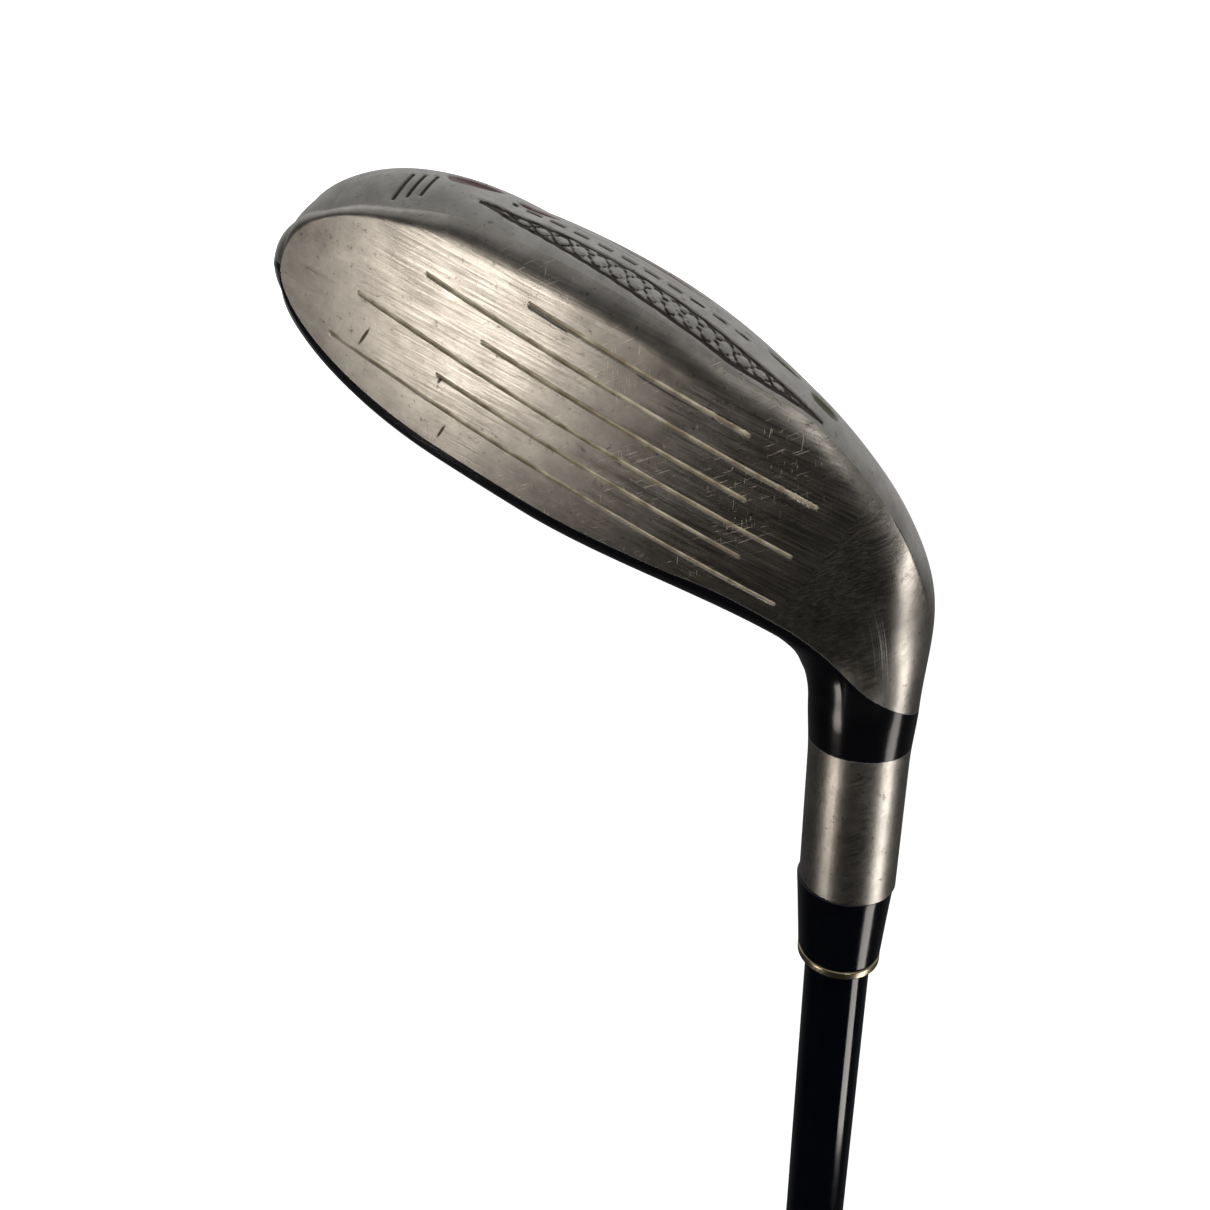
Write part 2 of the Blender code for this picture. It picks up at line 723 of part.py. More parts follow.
def grip_outer(z):
    """Full at the cap, then thinner toward the mouth."""
    share = min(max((z - CAP_HEIGHT) / (GRIP_LENGTH - CAP_HEIGHT), 0.0), 1.0)
    return MOUTH_RADIUS + (CAP_RADIUS - MOUTH_RADIUS) * (1 - share) ** 1.6


def grip_tape():
    """Double-sided tape between shaft and grip."""
    low = CAP_HEIGHT + 0.5 * MM
    high = GRIP_LENGTH - 4 * MM
    levels = np.linspace(high, low, 4)
    outer = [(tape_inner(z) + TAPE_WALL, z) for z in levels]
    inner = [(tape_inner(z), z) for z in levels[::-1]]
    turned("grip_tape", outer + inner, club, grip_tape_cloth)


def grip_sleeve():
    """The moulded rubber sleeve, with a rounded mouth."""
    low = CAP_HEIGHT + FLAT_GAP
    mouth = 1.2 * MM
    levels = np.linspace(GRIP_LENGTH - mouth, low, 16)
    outer = [(grip_inner(GRIP_LENGTH) + 0.8 * MM, GRIP_LENGTH)]
    outer += [(grip_outer(z), z) for z in levels]
    inner = [(grip_inner(z), z) for z in (low, GRIP_LENGTH)]
    turned("grip_sleeve", outer + inner, club, grip_rubber)


def grip_cap():
    """The domed butt cap: a vent hole through a flat end, and a socket for the shaft's butt."""
    socket = BUTT_RADIUS + FIT_GAP
    floor = CAP_HEIGHT / 2 - FIT_GAP
    dome = [
        (CAP_FLAT + (CAP_RADIUS - CAP_FLAT) * math.cos(a), (CAP_RADIUS - CAP_FLAT) * (1 - math.sin(a)))
        for a in np.radians((0, 30, 60, 90))
    ]
    profile = [(CAP_RADIUS, CAP_HEIGHT)] + dome + [(VENT_RADIUS, 0.0), (VENT_RADIUS, floor)]
    profile += [(socket, floor), (socket, CAP_HEIGHT)]
    turned("grip_cap", profile, club, cap_rubber)


grip_tape()
grip_sleeve()
grip_cap()
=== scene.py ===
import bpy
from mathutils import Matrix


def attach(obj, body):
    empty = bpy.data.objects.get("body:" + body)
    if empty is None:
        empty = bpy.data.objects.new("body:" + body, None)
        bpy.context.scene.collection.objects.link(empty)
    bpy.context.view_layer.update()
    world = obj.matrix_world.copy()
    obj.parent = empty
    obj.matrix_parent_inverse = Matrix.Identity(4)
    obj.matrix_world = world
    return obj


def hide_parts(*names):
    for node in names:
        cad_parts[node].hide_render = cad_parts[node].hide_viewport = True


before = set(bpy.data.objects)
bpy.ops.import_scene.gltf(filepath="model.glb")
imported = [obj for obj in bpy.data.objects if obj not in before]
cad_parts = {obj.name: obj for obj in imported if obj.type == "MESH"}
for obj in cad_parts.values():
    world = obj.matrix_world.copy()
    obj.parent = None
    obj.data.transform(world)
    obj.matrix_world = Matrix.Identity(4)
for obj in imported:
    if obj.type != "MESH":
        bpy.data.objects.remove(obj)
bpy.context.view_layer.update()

import math

import bpy
import numpy as np
from mathutils import Matrix, Vector

# ------------------------------------------------------------------ camera
# A close view of the head from in front of the face, a little above it and to the heel's side.
# The club stands on its grip, so the shaft runs out of the bottom of the view.

MM = 0.001
CLUB_LENGTH = 1.016
view_place = Vector((-5.07, -117.83, 1038.84)) * MM
view_turn = math.radians(14.17)
view_tilt = math.radians(-22.17)
view_roll = math.radians(-1.22)
camera = bpy.data.objects.new("camera", bpy.data.cameras.new("camera"))
bpy.context.scene.collection.objects.link(camera)
camera.data.lens = 28.5
camera.data.sensor_width = 36.0
camera.data.clip_start = 0.005
camera.matrix_world = (
    Matrix.Translation(view_place)
    @ Matrix.Rotation(view_turn, 4, "Z")
    @ Matrix.Rotation(math.pi / 2 + view_tilt, 4, "X")
    @ Matrix.Rotation(view_roll, 4, "Z")
)
bpy.context.scene.camera = camera
bpy.context.scene.view_settings.view_transform = "Standard"


# ------------------------------------------------------------------ floor, backdrop and light
# A pale studio sweep. The floor and the backdrop are matt and light the club only softly. Three soft
# boxes give the satin steel its glow, the hosel its two streaks and the leading edge its bright line.


def colour(code):
    """Linear RGBA of an sRGB hex colour."""
    parts = np.array([int(code[k : k + 2], 16) for k in (1, 3, 5)]) / 255
    linear = np.where(parts <= 0.04045, parts / 12.92, ((parts + 0.055) / 1.055) ** 2.4)
    return (*linear, 1.0)


def add_node(tree, kind, inputs=None, give=0, **settings):
    """Adds a node with its settings, sets or links its inputs by name or number, and returns one output."""
    made = tree.nodes.new(kind)
    for name, value in settings.items():
        setattr(made, name, value)
    for name, value in (inputs or {}).items():
        socket = made.inputs[name]
        if isinstance(value, bpy.types.NodeSocket):
            tree.links.new(value, socket)
        else:
            socket.default_value = value
    return made.outputs[give] if made.outputs else made


def new_material(name):
    """An empty node material and its tree."""
    made = bpy.data.materials.new(name)
    made.use_nodes = True
    made.node_tree.nodes.clear()
    return made, made.node_tree


def mesh_object(name, points, faces, finish):
    """A smooth-shaded object at the origin from arrays of points and faces."""
    mesh = bpy.data.meshes.new(name)
    mesh.from_pydata(np.asarray(points).tolist(), [], np.asarray(faces).tolist())
    mesh.materials.append(finish)
    mesh.shade_smooth()
    obj = bpy.data.objects.new(name, mesh)
    bpy.context.scene.collection.objects.link(obj)
    return obj


def grid_faces(rows, columns, wrap_rows=False, wrap_columns=False):
    """Quads of a grid of points numbered row by row."""
    row_numbers = np.arange(rows if wrap_rows else rows - 1)
    column_numbers = np.arange(columns if wrap_columns else columns - 1)
    i, j = (part.ravel() for part in np.meshgrid(row_numbers, column_numbers, indexing="ij"))
    near, far = i * columns, (i + 1) % rows * columns
    after = (j + 1) % columns
    return np.stack((near + j, near + after, far + after, far + j), 1)


def sweep_material(name, code, own_light):
    """Matt pale paper that also glows a little, so it stays near white."""
    made, tree = new_material(name)
    place = add_node(tree, "ShaderNodeTexCoord", give="Object")
    mottle = add_node(tree, "ShaderNodeTexNoise", {"Vector": place, "Scale": 3.0, "Detail": 3.0})
    pair = {0: mottle, 6: colour(code), 7: colour("#ffffff")}
    tint = add_node(tree, "ShaderNodeMix", pair, 2, data_type="RGBA")
    paper = {"Base Color": tint, "Roughness": 0.9, "Emission Color": tint, "Emission Strength": own_light}
    coat = add_node(tree, "ShaderNodeBsdfPrincipled", paper)
    add_node(tree, "ShaderNodeOutputMaterial", {"Surface": coat})
    return made


SWEEP_RADIUS = 6.0
n_turn, n_ring, n_lift = 96, 12, 24
turns = np.linspace(0, 2 * np.pi, n_turn, endpoint=False)
# The rings start 0.12 m out, so the floor is open under the grip and the dark low sky shows there.
rings = np.linspace(0.02, 1.0, n_ring)[:, None] * SWEEP_RADIUS
disc = np.stack((rings * np.cos(turns), rings * np.sin(turns), np.zeros((n_ring, n_turn))), -1)
disc_faces = grid_faces(n_ring, n_turn, wrap_columns=True)
floor = mesh_object("floor", disc.reshape(-1, 3), disc_faces, sweep_material("pale floor", "#f4f4f2", 0.75))
floor.visible_glossy = False

lifts = np.linspace(0, np.pi / 2, n_lift)[:, None]
dome_points = SWEEP_RADIUS * np.stack(
    (np.cos(lifts) * np.cos(turns), np.cos(lifts) * np.sin(turns), np.sin(lifts) * np.ones(n_turn)), -1
)
dome_faces = grid_faces(n_lift, n_turn, wrap_columns=True)
backdrop_paper = sweep_material("backdrop", "#fafafa", 1.0)
dome = mesh_object("backdrop", dome_points.reshape(-1, 3), dome_faces, backdrop_paper)
dome.visible_glossy = False
dome.visible_diffuse = False
dome.visible_shadow = False

HEAD_MIDDLE = Vector((-0.035, 0.0, 0.985))


def soft_box(name, direction, distance, size, watts, tint):
    """An area light that looks at the head from a direction."""
    lamp = bpy.data.lights.new(name, "AREA")
    lamp.shape = "RECTANGLE"
    lamp.size, lamp.size_y = size
    lamp.energy = watts
    lamp.color = colour(tint)[:3]
    obj = bpy.data.objects.new(name, lamp)
    bpy.context.scene.collection.objects.link(obj)
    away = Vector(direction).normalized()
    obj.location = HEAD_MIDDLE + away * distance
    obj.rotation_mode = "QUATERNION"
    obj.rotation_quaternion = away.to_track_quat("Z", "Y")
    return obj


# The key lights the toe half of the face, the side box the heel, the strip the leading edge.
soft_box("key_box", (-0.70, -0.585, -0.42), 0.9, (0.24, 0.30), 1.35, "#fff6ec")
soft_box("side_box", (0.80, -0.23, -0.55), 0.9, (0.26, 0.60), 2.0, "#fffaf4")
soft_box("edge_strip", (0.46, -0.86, 0.08), 0.9, (0.07, 0.50), 0.5, "#fffaf4")

# The room is bright behind the head and overhead, and dark in front and low down.
world = bpy.data.worlds.new("studio")
bpy.context.scene.world = world
world.use_nodes = True
world.node_tree.nodes.clear()
tree = world.node_tree
aim = add_node(tree, "ShaderNodeTexCoord", give="Generated")
split = {"Vector": aim}
forward = add_node(tree, "ShaderNodeSeparateXYZ", split, "Y")
upward = add_node(tree, "ShaderNodeSeparateXYZ", split, "Z")
behind = {0: forward, 1: -0.1, 2: 0.9, 3: 0.075, 4: 0.55}
behind = add_node(tree, "ShaderNodeMapRange", behind, interpolation_type="SMOOTHSTEP")
above = {0: upward, 1: 0.1, 2: 0.9, 3: 0.0, 4: 0.35}
above = add_node(tree, "ShaderNodeMapRange", above, interpolation_type="SMOOTHSTEP")
not_low = {0: upward, 1: -0.45, 2: -0.10, 3: 0.12, 4: 1.0}
not_low = add_node(tree, "ShaderNodeMapRange", not_low, interpolation_type="SMOOTHSTEP")
room = add_node(tree, "ShaderNodeMath", {0: behind, 1: not_low, 2: above}, operation="MULTIPLY_ADD")
sky = add_node(tree, "ShaderNodeBackground", {"Color": colour("#f4f4f5"), "Strength": room})
add_node(tree, "ShaderNodeOutputWorld", {"Surface": sky})

# ------------------------------------------------------------------ head
# A hollow stainless steel head: a cast body with its hosel, a welded sole plate and a welded face cup.
# The satin steel is bead-blasted and brushed; crown and neck are masked and sprayed gloss black.
# Its shape is worked out in the address pose, in millimetres: x to the toe, y to the rear, z up.

LIE = math.radians(60.5)
LOFT = math.radians(19.0)
# Where the shaft's axis meets the ground, behind the face and on the heel side.
AXIS_X, AXIS_Y = -28.0, 19.0
# The face bulges from heel to toe and rolls from sole to crown about this height.
BULGE_RADIUS, ROLL_RADIUS = 300.0, 285.0
FACE_MIDDLE = 17.0
NECK_RADIUS, NECK_FLARE = 6.8, 0.45
# The crook between neck and head turns about this point.
CROOK_RADIUS, CROOK_X, CROOK_Z = 11.0, -31.2, 42.1
# Distances up the shaft's axis: where the neck ends, the hosel's rim, and where the lacquer stops.
NECK_END, HOSEL_TOP, PAINT_TOP = 38.2, 65.9, 43.18
# The outline narrows to the toe from these stations.
TOE_X, FACE_TOE_X, TOE_Z = 46.6, 43.4, 20.5
CROWN_TURN, SOLE_TURN, FACE_TURN = 17.0, 19.0, 18.0
CROWN_Z, CROWN_DROP = 32.7, 3.3
SOLE_Z, SOLE_CAMBER, SOLE_LOW_X = -2.1, 0.0049, 3.0
# The sole lifts faster past this station, towards the heel.
HEEL_CAMBER, HEEL_CAMBER_X = 0.006, -20.0
REAR_Y = 51.0
HEEL_TUCK = -0.6
# Depth of the roll over the top of the face, and of the leading edge below it.
LIP, LEADING_EDGE = 1.9, 6.5


def eased(share):
    """Rises from 0 to 1 with level ends: 3 s^2 - 2 s^3."""
    share = np.clip(share, 0.0, 1.0)
    return share * share * (3.0 - 2.0 * share)


def rounded(x, start, end):
    """Quarter ellipse: 1 at start, falling to 0 at end."""
    share = np.clip((x - start) / (end - start), 0.0, 1.0)
    return np.sqrt(np.maximum(1.0 - share * share, 0.0))


def face_height(x, z):
    """Distance up the lofted face plane, and how far bulge and roll let the face fall behind it."""
    height = z / math.cos(LOFT)
    for _ in range(3):
        sag = x * x / (2 * BULGE_RADIUS) + (height - FACE_MIDDLE) ** 2 / (2 * ROLL_RADIUS)
        height = (z + sag * math.sin(LOFT)) / math.cos(LOFT)
    return height, sag


def face_y(x, z):
    """Depth of the face surface."""
    height, sag = face_height(x, z)
    return height * math.sin(LOFT) + sag * math.cos(LOFT)


def crown_z(x):
    """Height of the crown's top line: dropping to the heel, narrowing to the toe."""
    base = CROWN_Z - CROWN_DROP * eased((5 - x) / 36)
    return TOE_Z + (base - TOE_Z) * rounded(x, CROWN_TURN, TOE_X)


def sole_z(x):
    """Height of the sole's lowest line: a parabola, with a second one added past the heel."""
    base = SOLE_Z + SOLE_CAMBER * (np.minimum(x, SOLE_TURN) - SOLE_LOW_X) ** 2
    base = base + HEEL_CAMBER * np.maximum(HEEL_CAMBER_X - x, 0.0) ** 2
    return TOE_Z - (TOE_Z - base) * rounded(x, SOLE_TURN, TOE_X)


def face_top_z(x):
    """Height of the face's upper border: one lip below the crown."""
    top = crown_z(np.minimum(x, CROWN_TURN)) - LIP
    return TOE_Z + (top - TOE_Z) * rounded(x, CROWN_TURN, FACE_TOE_X)


def face_low_z(x):
    """Height of the face's lower border: one leading edge above the sole."""
    low = sole_z(np.minimum(x, FACE_TURN)) + LEADING_EDGE
    return TOE_Z - (TOE_Z - low) * rounded(x, FACE_TURN, FACE_TOE_X) ** 0.9


def crease_rise(x):
    """Height of the crease, where the leading edge turns under, above the sole's lowest line."""
    rise = 2.75 + 1.6 * eased((x - 18) / 14) - 1.4 * eased((-8 - x) / 14)
    return np.minimum(rise, 0.3 * (TOE_Z - sole_z(x)))


def rear_y(x):
    """Plan outline of the trailing edge: a blunt curve on the toe side, an easy one on the heel side."""
    share = np.clip((x - 2) / (TOE_X + 0.4 - 2), 0.0, 1.0)
    toe_side = 22 + (REAR_Y - 22) * (1 - share**2.3) ** 0.62
    return np.where(x > 2, toe_side, REAR_Y - 15.5 * eased((2 - x) / (2 - CROOK_X)))


def neck_radius(along):
    """The hosel's radius, flaring a little where it runs into the head."""
    return NECK_RADIUS + NECK_FLARE * eased((46 - along) / 9)


def heel_reach(bend):
    """Crook centre to heel outside: a cubic that leaves the neck squarely and meets the sole's slope."""
    share = bend / math.degrees(LIE)
    start = CROOK_RADIUS + 2 * neck_radius(NECK_END)
    end = CROOK_Z - sole_z(CROOK_X)
    lean = (sole_z(CROOK_X - 0.05) - sole_z(CROOK_X)) / 0.05 * end * LIE
    tuck = HEEL_TUCK * np.sin(np.pi * share) ** 2
    return start + (end - start) * eased(share) - lean * share * share * (1 - share) - tuck


# Score lines: height up the face, toe end, heel end. Each is this wide on either side, and this deep.
SCORE_LINES = np.array(
    (
        (7.1, 12.2, -14.8),
        (10.9, 24.3, -25.3),
        (14.5, 15.8, -18.3),
        (18.4, 32.0, -26.4),
        (22.0, 19.7, -21.4),
        (26.0, 34.8, -28.3),
    )
)
SCORE_HALF = 0.27
SCORE_DEPTH = 0.30

# Stations run down the neck, turn round the crook and go on to the toe, closer at the score lines' ends.
neck_along = np.linspace(HOSEL_TOP, NECK_END, 18, endpoint=False)
bends = np.linspace(0.0, math.degrees(LIE), 44, endpoint=False)
even = CROOK_X + (FACE_TOE_X - CROOK_X) * np.sin(np.linspace(0, np.pi / 2, 236))
ends = SCORE_LINES[:, 1:].ravel()[:, None] + np.linspace(-0.5, 0.5, 8)
head_x = np.unique(np.round(np.concatenate((even, ends.ravel())), 3))
toe_x = FACE_TOE_X + (TOE_X - 0.004 - FACE_TOE_X) * np.sin(np.linspace(0, np.pi / 2, 15)[1:])
past = np.concatenate((head_x, toe_x))
n_neck, n_bend, n_head = len(neck_along), len(bends), len(head_x)
first_head = n_neck + n_bend
face_end = first_head + n_head - 1


def stations():
    """Arrays with one entry a station: origin, outward direction, share of the wall section, extents."""
    shift = (neck_along - NECK_END)[:, None] * np.array((-math.cos(LIE), math.sin(LIE)))
    crook = np.array((CROOK_X, CROOK_Z))
    head_origin = np.stack((past, 0 * past + CROOK_Z), 1)
    origin = np.concatenate((crook + shift, np.tile(crook, (n_bend, 1)), head_origin))
    angle = LIE - np.radians(np.concatenate((0 * neck_along, bends, 0 * past + math.degrees(LIE))))
    out = np.stack((-np.sin(angle), -np.cos(angle)), 1)
    radius = neck_radius(neck_along)
    middle = CROOK_RADIUS + neck_radius(NECK_END)
    neck_rear = AXIS_Y + neck_radius(NECK_END)
    ones = np.ones(n_bend)
    rear_bend = neck_rear + (rear_y(np.array(CROOK_X)) - neck_rear) * eased(bends / math.degrees(LIE))
    past_face = np.clip((past - FACE_TOE_X) / (TOE_X - FACE_TOE_X), 0.0, 1.0)
    low = np.where(past > FACE_TOE_X, TOE_Z, face_low_z(past)) - sole_z(past)
    lip = crown_z(past) - np.where(past > FACE_TOE_X, TOE_Z, face_top_z(past))
    crook_near = CROOK_RADIUS + (CROOK_Z - crown_z(CROOK_X) - CROOK_RADIUS) * eased((bends - 26.0) / 34.5)
    softer = eased((math.degrees(LIE) - bends) / 45.0)
    join = np.concatenate
    return {
        "origin": origin,
        "out": out,
        "wall": join((0 * neck_along, eased((bends - 2) / 50), np.ones(len(past)))),
        "near": join((middle - radius, crook_near, CROOK_Z - crown_z(past))),
        "far": join((middle + radius, heel_reach(bends), CROOK_Z - sole_z(past))),
        "front": join((AXIS_Y - radius, (AXIS_Y - neck_radius(NECK_END)) * ones, 0 * past)),
        "rear": join((AXIS_Y + radius, rear_bend, rear_y(past))),
        "low": join((0 * neck_along + LEADING_EDGE, LEADING_EDGE * ones, low)),
        "lip": join((0 * neck_along + LIP + 3.0, LIP + 3.0 * softer, lip)),
        "rise": join((0 * neck_along, crease_rise(CROOK_X) * ones, crease_rise(past))),
        "sharp": join((0 * neck_along + 1, ones, 1 - 0.55 * eased((past - 10) / 24))),
        "set_back": join((0 * neck_along, 0 * ones, 6.5 * (1 - np.sqrt(1 - past_face**2)))),
        "toe": join((0 * neck_along, 0 * ones, eased((past - 20) / 20))),
    }


at = stations()

# Rows of the face keep to the score lines, with close rows at each line's walls.
n_between = 5
beside = np.array((-0.65, -0.42, -0.31, -0.25, -0.19, 0.0, 0.19, 0.25, 0.31, 0.42, 0.65))


def face_rows():
    """Heights up the face, station by row: each score line's rows, and even rows between them."""
    x = np.concatenate((np.full(n_neck + n_bend, CROOK_X), past))
    low, _ = face_height(x, np.where(x > FACE_TOE_X, TOE_Z - 0.001, face_low_z(x)))
    top, _ = face_height(x, np.where(x > FACE_TOE_X, TOE_Z, face_top_z(x)))
    step = np.minimum(1.6, (top - low) / 8)[:, None]
    order = np.arange(1, 7)
    centre = np.clip(SCORE_LINES[:, 0], low[:, None] + order * step, top[:, None] - (7 - order) * step)
    rows = centre[:, :, None] + beside * np.minimum(1.0, step / 1.6)[:, :, None]
    first = np.concatenate((low[:, None], rows[:, :, -1]), 1)
    last = np.concatenate((rows[:, :, 0], top[:, None]), 1)
    share = np.linspace(0, 1, n_between + 2)[:-1]
    fill = first[:, :, None] + (last - first)[:, :, None] * share[1:]
    blocks = [low[:, None]]
    for k in range(7):
        blocks.append(fill[:, k])
        if k < 6:
            blocks.append(rows[:, k])
    heights = np.concatenate(blocks, 1)
    return (heights - low[:, None]) / (top - low)[:, None].clip(1e-6)


face_share = face_rows()
n_face = face_share.shape[1]
n_lip, n_crown, n_rear, n_under, n_front, n_lead = 7, 40, 14, 80, 44, 16
n_sole = n_under + n_front
counts = (n_face, n_lip, n_crown, n_rear, n_sole, n_lead)
starts = np.concatenate(((0,), np.cumsum(counts)))
ARCS = (64, 114, 170, 218, 312, 375, 424)


def bezier(controls, shares):
    """Station-by-share points of a Bezier curve whose control points are one array a station."""
    degree = len(controls) - 1
    t = np.asarray(shares)[None, :, None]
    weights = [math.comb(degree, k) * t**k * (1 - t) ** (degree - k) for k in range(degree + 1)]
    return sum(weight * control[:, None, :] for weight, control in zip(weights, controls))


def wall_sections():
    """Face, lip, crown, rear, sole and leading edge of every station, as (distance from crook axis, y)."""
    near, far, rear, lip, low = at["near"], at["far"], at["rear"], at["lip"], at["low"]
    height = far - near

    def on_face(reach):
        x = at["origin"][:, :1] + reach * at["out"][:, :1]
        z = at["origin"][:, 1:] + reach * at["out"][:, 1:]
        return face_y(x, z) + at["set_back"][:, None]

    def point(reach, y):
        return np.stack((reach + 0 * near, y + 0 * near), 1)

    def ahead(reach):
        return on_face(reach[:, None])[:, 0]

    depth = rear - ahead(near)
    bottom = point(far - low, ahead(far - low))
    top = point(near + lip, ahead(near + lip))
    reach = (far - low)[:, None] + ((near + lip) - (far - low))[:, None] * face_share
    face = np.stack((reach, on_face(reach)), 2)
    lip_corner = point(near, ahead(near) + 0.35 * lip)
    crown_start = point(near, lip_corner[:, 1] + np.maximum(1.6 * np.minimum(lip, 2.5), 0.05 * depth))
    corner = point(far - 0.30 * height, rear + 0.9)
    rear_top = point(near + 0.47 * height, rear - 0.10 * depth)
    rear_low = point(far - 0.235 * height, rear - 0.075 * depth)
    small = np.minimum(low / LEADING_EDGE, 1.0)
    crease = far - at["rise"]
    turn = crease - 0.45 * at["sharp"] * (low - at["rise"])
    roll = point(turn, ahead(turn) - 0.15 * at["sharp"] * small)
    edge = point(crease, ahead(crease) + 1.3 * small + 0.25 * low * at["toe"])
    lowest = point(far, edge[:, 1] + 0.19 * depth)
    to_rear, to_sole = corner - rear_top, rear_low - corner
    to_rear = to_rear / np.linalg.norm(to_rear, axis=1)[:, None]
    to_sole = to_sole / np.linalg.norm(to_sole, axis=1)[:, None]
    span = depth[:, None]
    row_counts = (n_lip, n_crown, n_rear, n_under, n_front, n_lead)
    lip_share, crown_share, rear_share, under_share, front_share, lead_share = (
        np.linspace(0, 1, count, endpoint=False) for count in row_counts
    )
    level = np.stack((0 * depth, depth), 1)
    into_rear, out_of_rear = rear_top - 0.30 * span * to_rear, rear_low + 0.28 * span * to_sole
    return np.concatenate(
        (
            face,
            bezier((top, lip_corner, crown_start), lip_share),
            bezier((crown_start, crown_start + 0.42 * level, into_rear, rear_top), crown_share),
            bezier((rear_top, corner, rear_low), rear_share),
            bezier((rear_low, out_of_rear, lowest + 0.21 * level, lowest), under_share),
            bezier((lowest, lowest - 0.10 * level, edge), front_share),
            bezier((edge, roll, bottom), lead_share),
        ),
        1,
    )


def round_sections():
    """The same rows on the neck's ellipse: middle + half cos, middle - half sin of each row's angle."""
    angle = np.concatenate([np.linspace(a, b, n, endpoint=False) for a, b, n in zip(ARCS, ARCS[1:], counts)])
    angle = np.radians(angle)
    middle, half = (at["near"] + at["far"]) / 2, (at["far"] - at["near"]) / 2
    centre, deep = (at["front"] + at["rear"]) / 2, (at["rear"] - at["front"]) / 2
    return np.stack(
        (middle[:, None] + half[:, None] * np.cos(angle), centre[:, None] - deep[:, None] * np.sin(angle)), 2
    )


share = at["wall"][:, None, None]
flat = round_sections() * (1 - share) + wall_sections() * share
skin = np.stack(
    (
        at["origin"][:, :1] + flat[..., 0] * at["out"][:, :1],
        flat[..., 1],
        at["origin"][:, 1:] + flat[..., 0] * at["out"][:, 1:],
    ),
    2,
)

# The last section closes on one level line, so the toe has no slit.
skin[-1, :, 2] = skin[-1, :, 2].mean()

around = np.roll(skin, -1, axis=1) - np.roll(skin, 1, axis=1)
ahead = np.gradient(skin, axis=0)
skin_normal = np.cross(around, ahead)
size = np.linalg.norm(skin_normal, axis=2)[..., None]
skin_normal /= size.clip(1e-9)
skin_normal = np.where(size < 1e-7, skin_normal[:, starts[1] : starts[1] + 1], skin_normal)
skin_normal[-3:] = skin_normal[-4]
# The normals have to point away from the middle of a ring, tried on one in the crook.
trial = first_head - 2
from_middle = skin[trial, :, 0] - skin[trial, :, 0].mean()
if (skin_normal[trial, :, 0] * from_middle).sum() < 0:
    skin_normal = -skin_normal

# Score lines: round-ended channels, pressed in and filled with cream paint.


def score_reach(x, height):
    """Reach inside the nearest score line's outline: half its width less the distance to its middle line."""
    best = np.full(x.shape, -9.0)
    for line, toe_end, heel_end in SCORE_LINES:
        past_end = np.maximum(np.maximum(x - toe_end, heel_end - x), 0.0)
        best = np.maximum(best, SCORE_HALF - np.hypot(past_end, height - line))
    return best


on_head = (np.arange(skin.shape[0]) >= first_head)[:, None]
row = np.arange(skin.shape[1])[None, :]
X, Y, Z = skin[..., 0], skin[..., 1], skin[..., 2]
score = np.where(on_head & (row < starts[1]), score_reach(X, face_height(X, Z)[0]), -9.0)

# Sole engraving: a lens of rope-like line work along the leading edge, rows of dashes and pinstripes
# behind it, three bars near the toe, and five shallow pockets behind them, all filled with paint.
# A pocket is its middle x and y, and its half lengths along x and y.
POCKETS = (
    (25.5, 11.5, 3.4, 3.0),
    (17.8, 11.2, 2.6, 2.2),
    (3.0, 15.5, 7.0, 2.6),
    (-14.5, 11.0, 2.6, 2.2),
    (-20.5, 8.8, 2.2, 2.4),
)
POCKET_DEPTH = 0.6
POCKET_POWER = 2.6


def engraved(x, y):
    """Reach inside the engraved line work, in mm: positive inside a line."""
    back = y - (x * x / (2 * BULGE_RADIUS) + 1.3)
    s = (x - 1.0) / 22.0
    inside = np.clip(1 - s * s, 0, 1)
    off = back - 3.0 - 0.9 * s
    outline = 0.22 - np.abs(np.abs(off) - 1.35 * inside)
    rope = 0.20 - np.abs(off - 1.0 * inside * np.sin(2 * np.pi * x / 4.6))
    cross = 0.17 - np.abs(off + 1.0 * inside * np.sin(2 * np.pi * x / 4.6))
    lens = np.where(np.abs(s) < 1.0, np.maximum(outline, np.maximum(rope, cross)), -1.0)
    beat = np.abs((x / 2.9) % 1.0 - 0.5) * 2.9
    dashes = np.where((x > -11) & (x < 20), np.minimum(0.38 - np.abs(back - 6.4), beat - 0.5), -1.0)
    stripes = -np.ones_like(x)
    for line, toe_end, heel_end in ((8.4, 13.0, -10.0), (10.0, 11.0, -7.0)):
        stripe = np.minimum(0.16 - np.abs(back - line), np.minimum(toe_end - x, x - heel_end))
        stripes = np.maximum(stripes, stripe)
    bars = -np.ones_like(x)
    for middle in (29.2, 30.6, 32.0):
        bars = np.maximum(bars, np.minimum(0.26 - np.abs(x - middle), 1.5 - np.abs(back - 5.2)))
    return np.maximum(np.maximum(lens, dashes), np.maximum(stripes, bars))


def pocket_reach(x, y):
    """Reach inside the pockets, in mm: 1 less the superellipse radius, times the short half width."""
    best = np.full(x.shape, -9.0)
    for middle_x, middle_y, half_x, half_y in POCKETS:
        across, back = np.abs((x - middle_x) / half_x), np.abs((y - middle_y) / half_y)
        radius = (across**POCKET_POWER + back**POCKET_POWER) ** (1 / POCKET_POWER)
        best = np.maximum(best, (1 - radius) * min(half_x, half_y))
    return best


on_sole = on_head & (row >= starts[4]) & (row < starts[5])
lines = np.where(on_sole, engraved(X, Y), -9.0)
pockets = np.where(on_sole, pocket_reach(X, Y), -9.0)
sunk = SCORE_DEPTH * eased((score + 0.04) / 0.10)
sunk += 0.20 * eased((lines + 0.05) / 0.12) + POCKET_DEPTH * eased((pockets + 0.2) / 0.9)


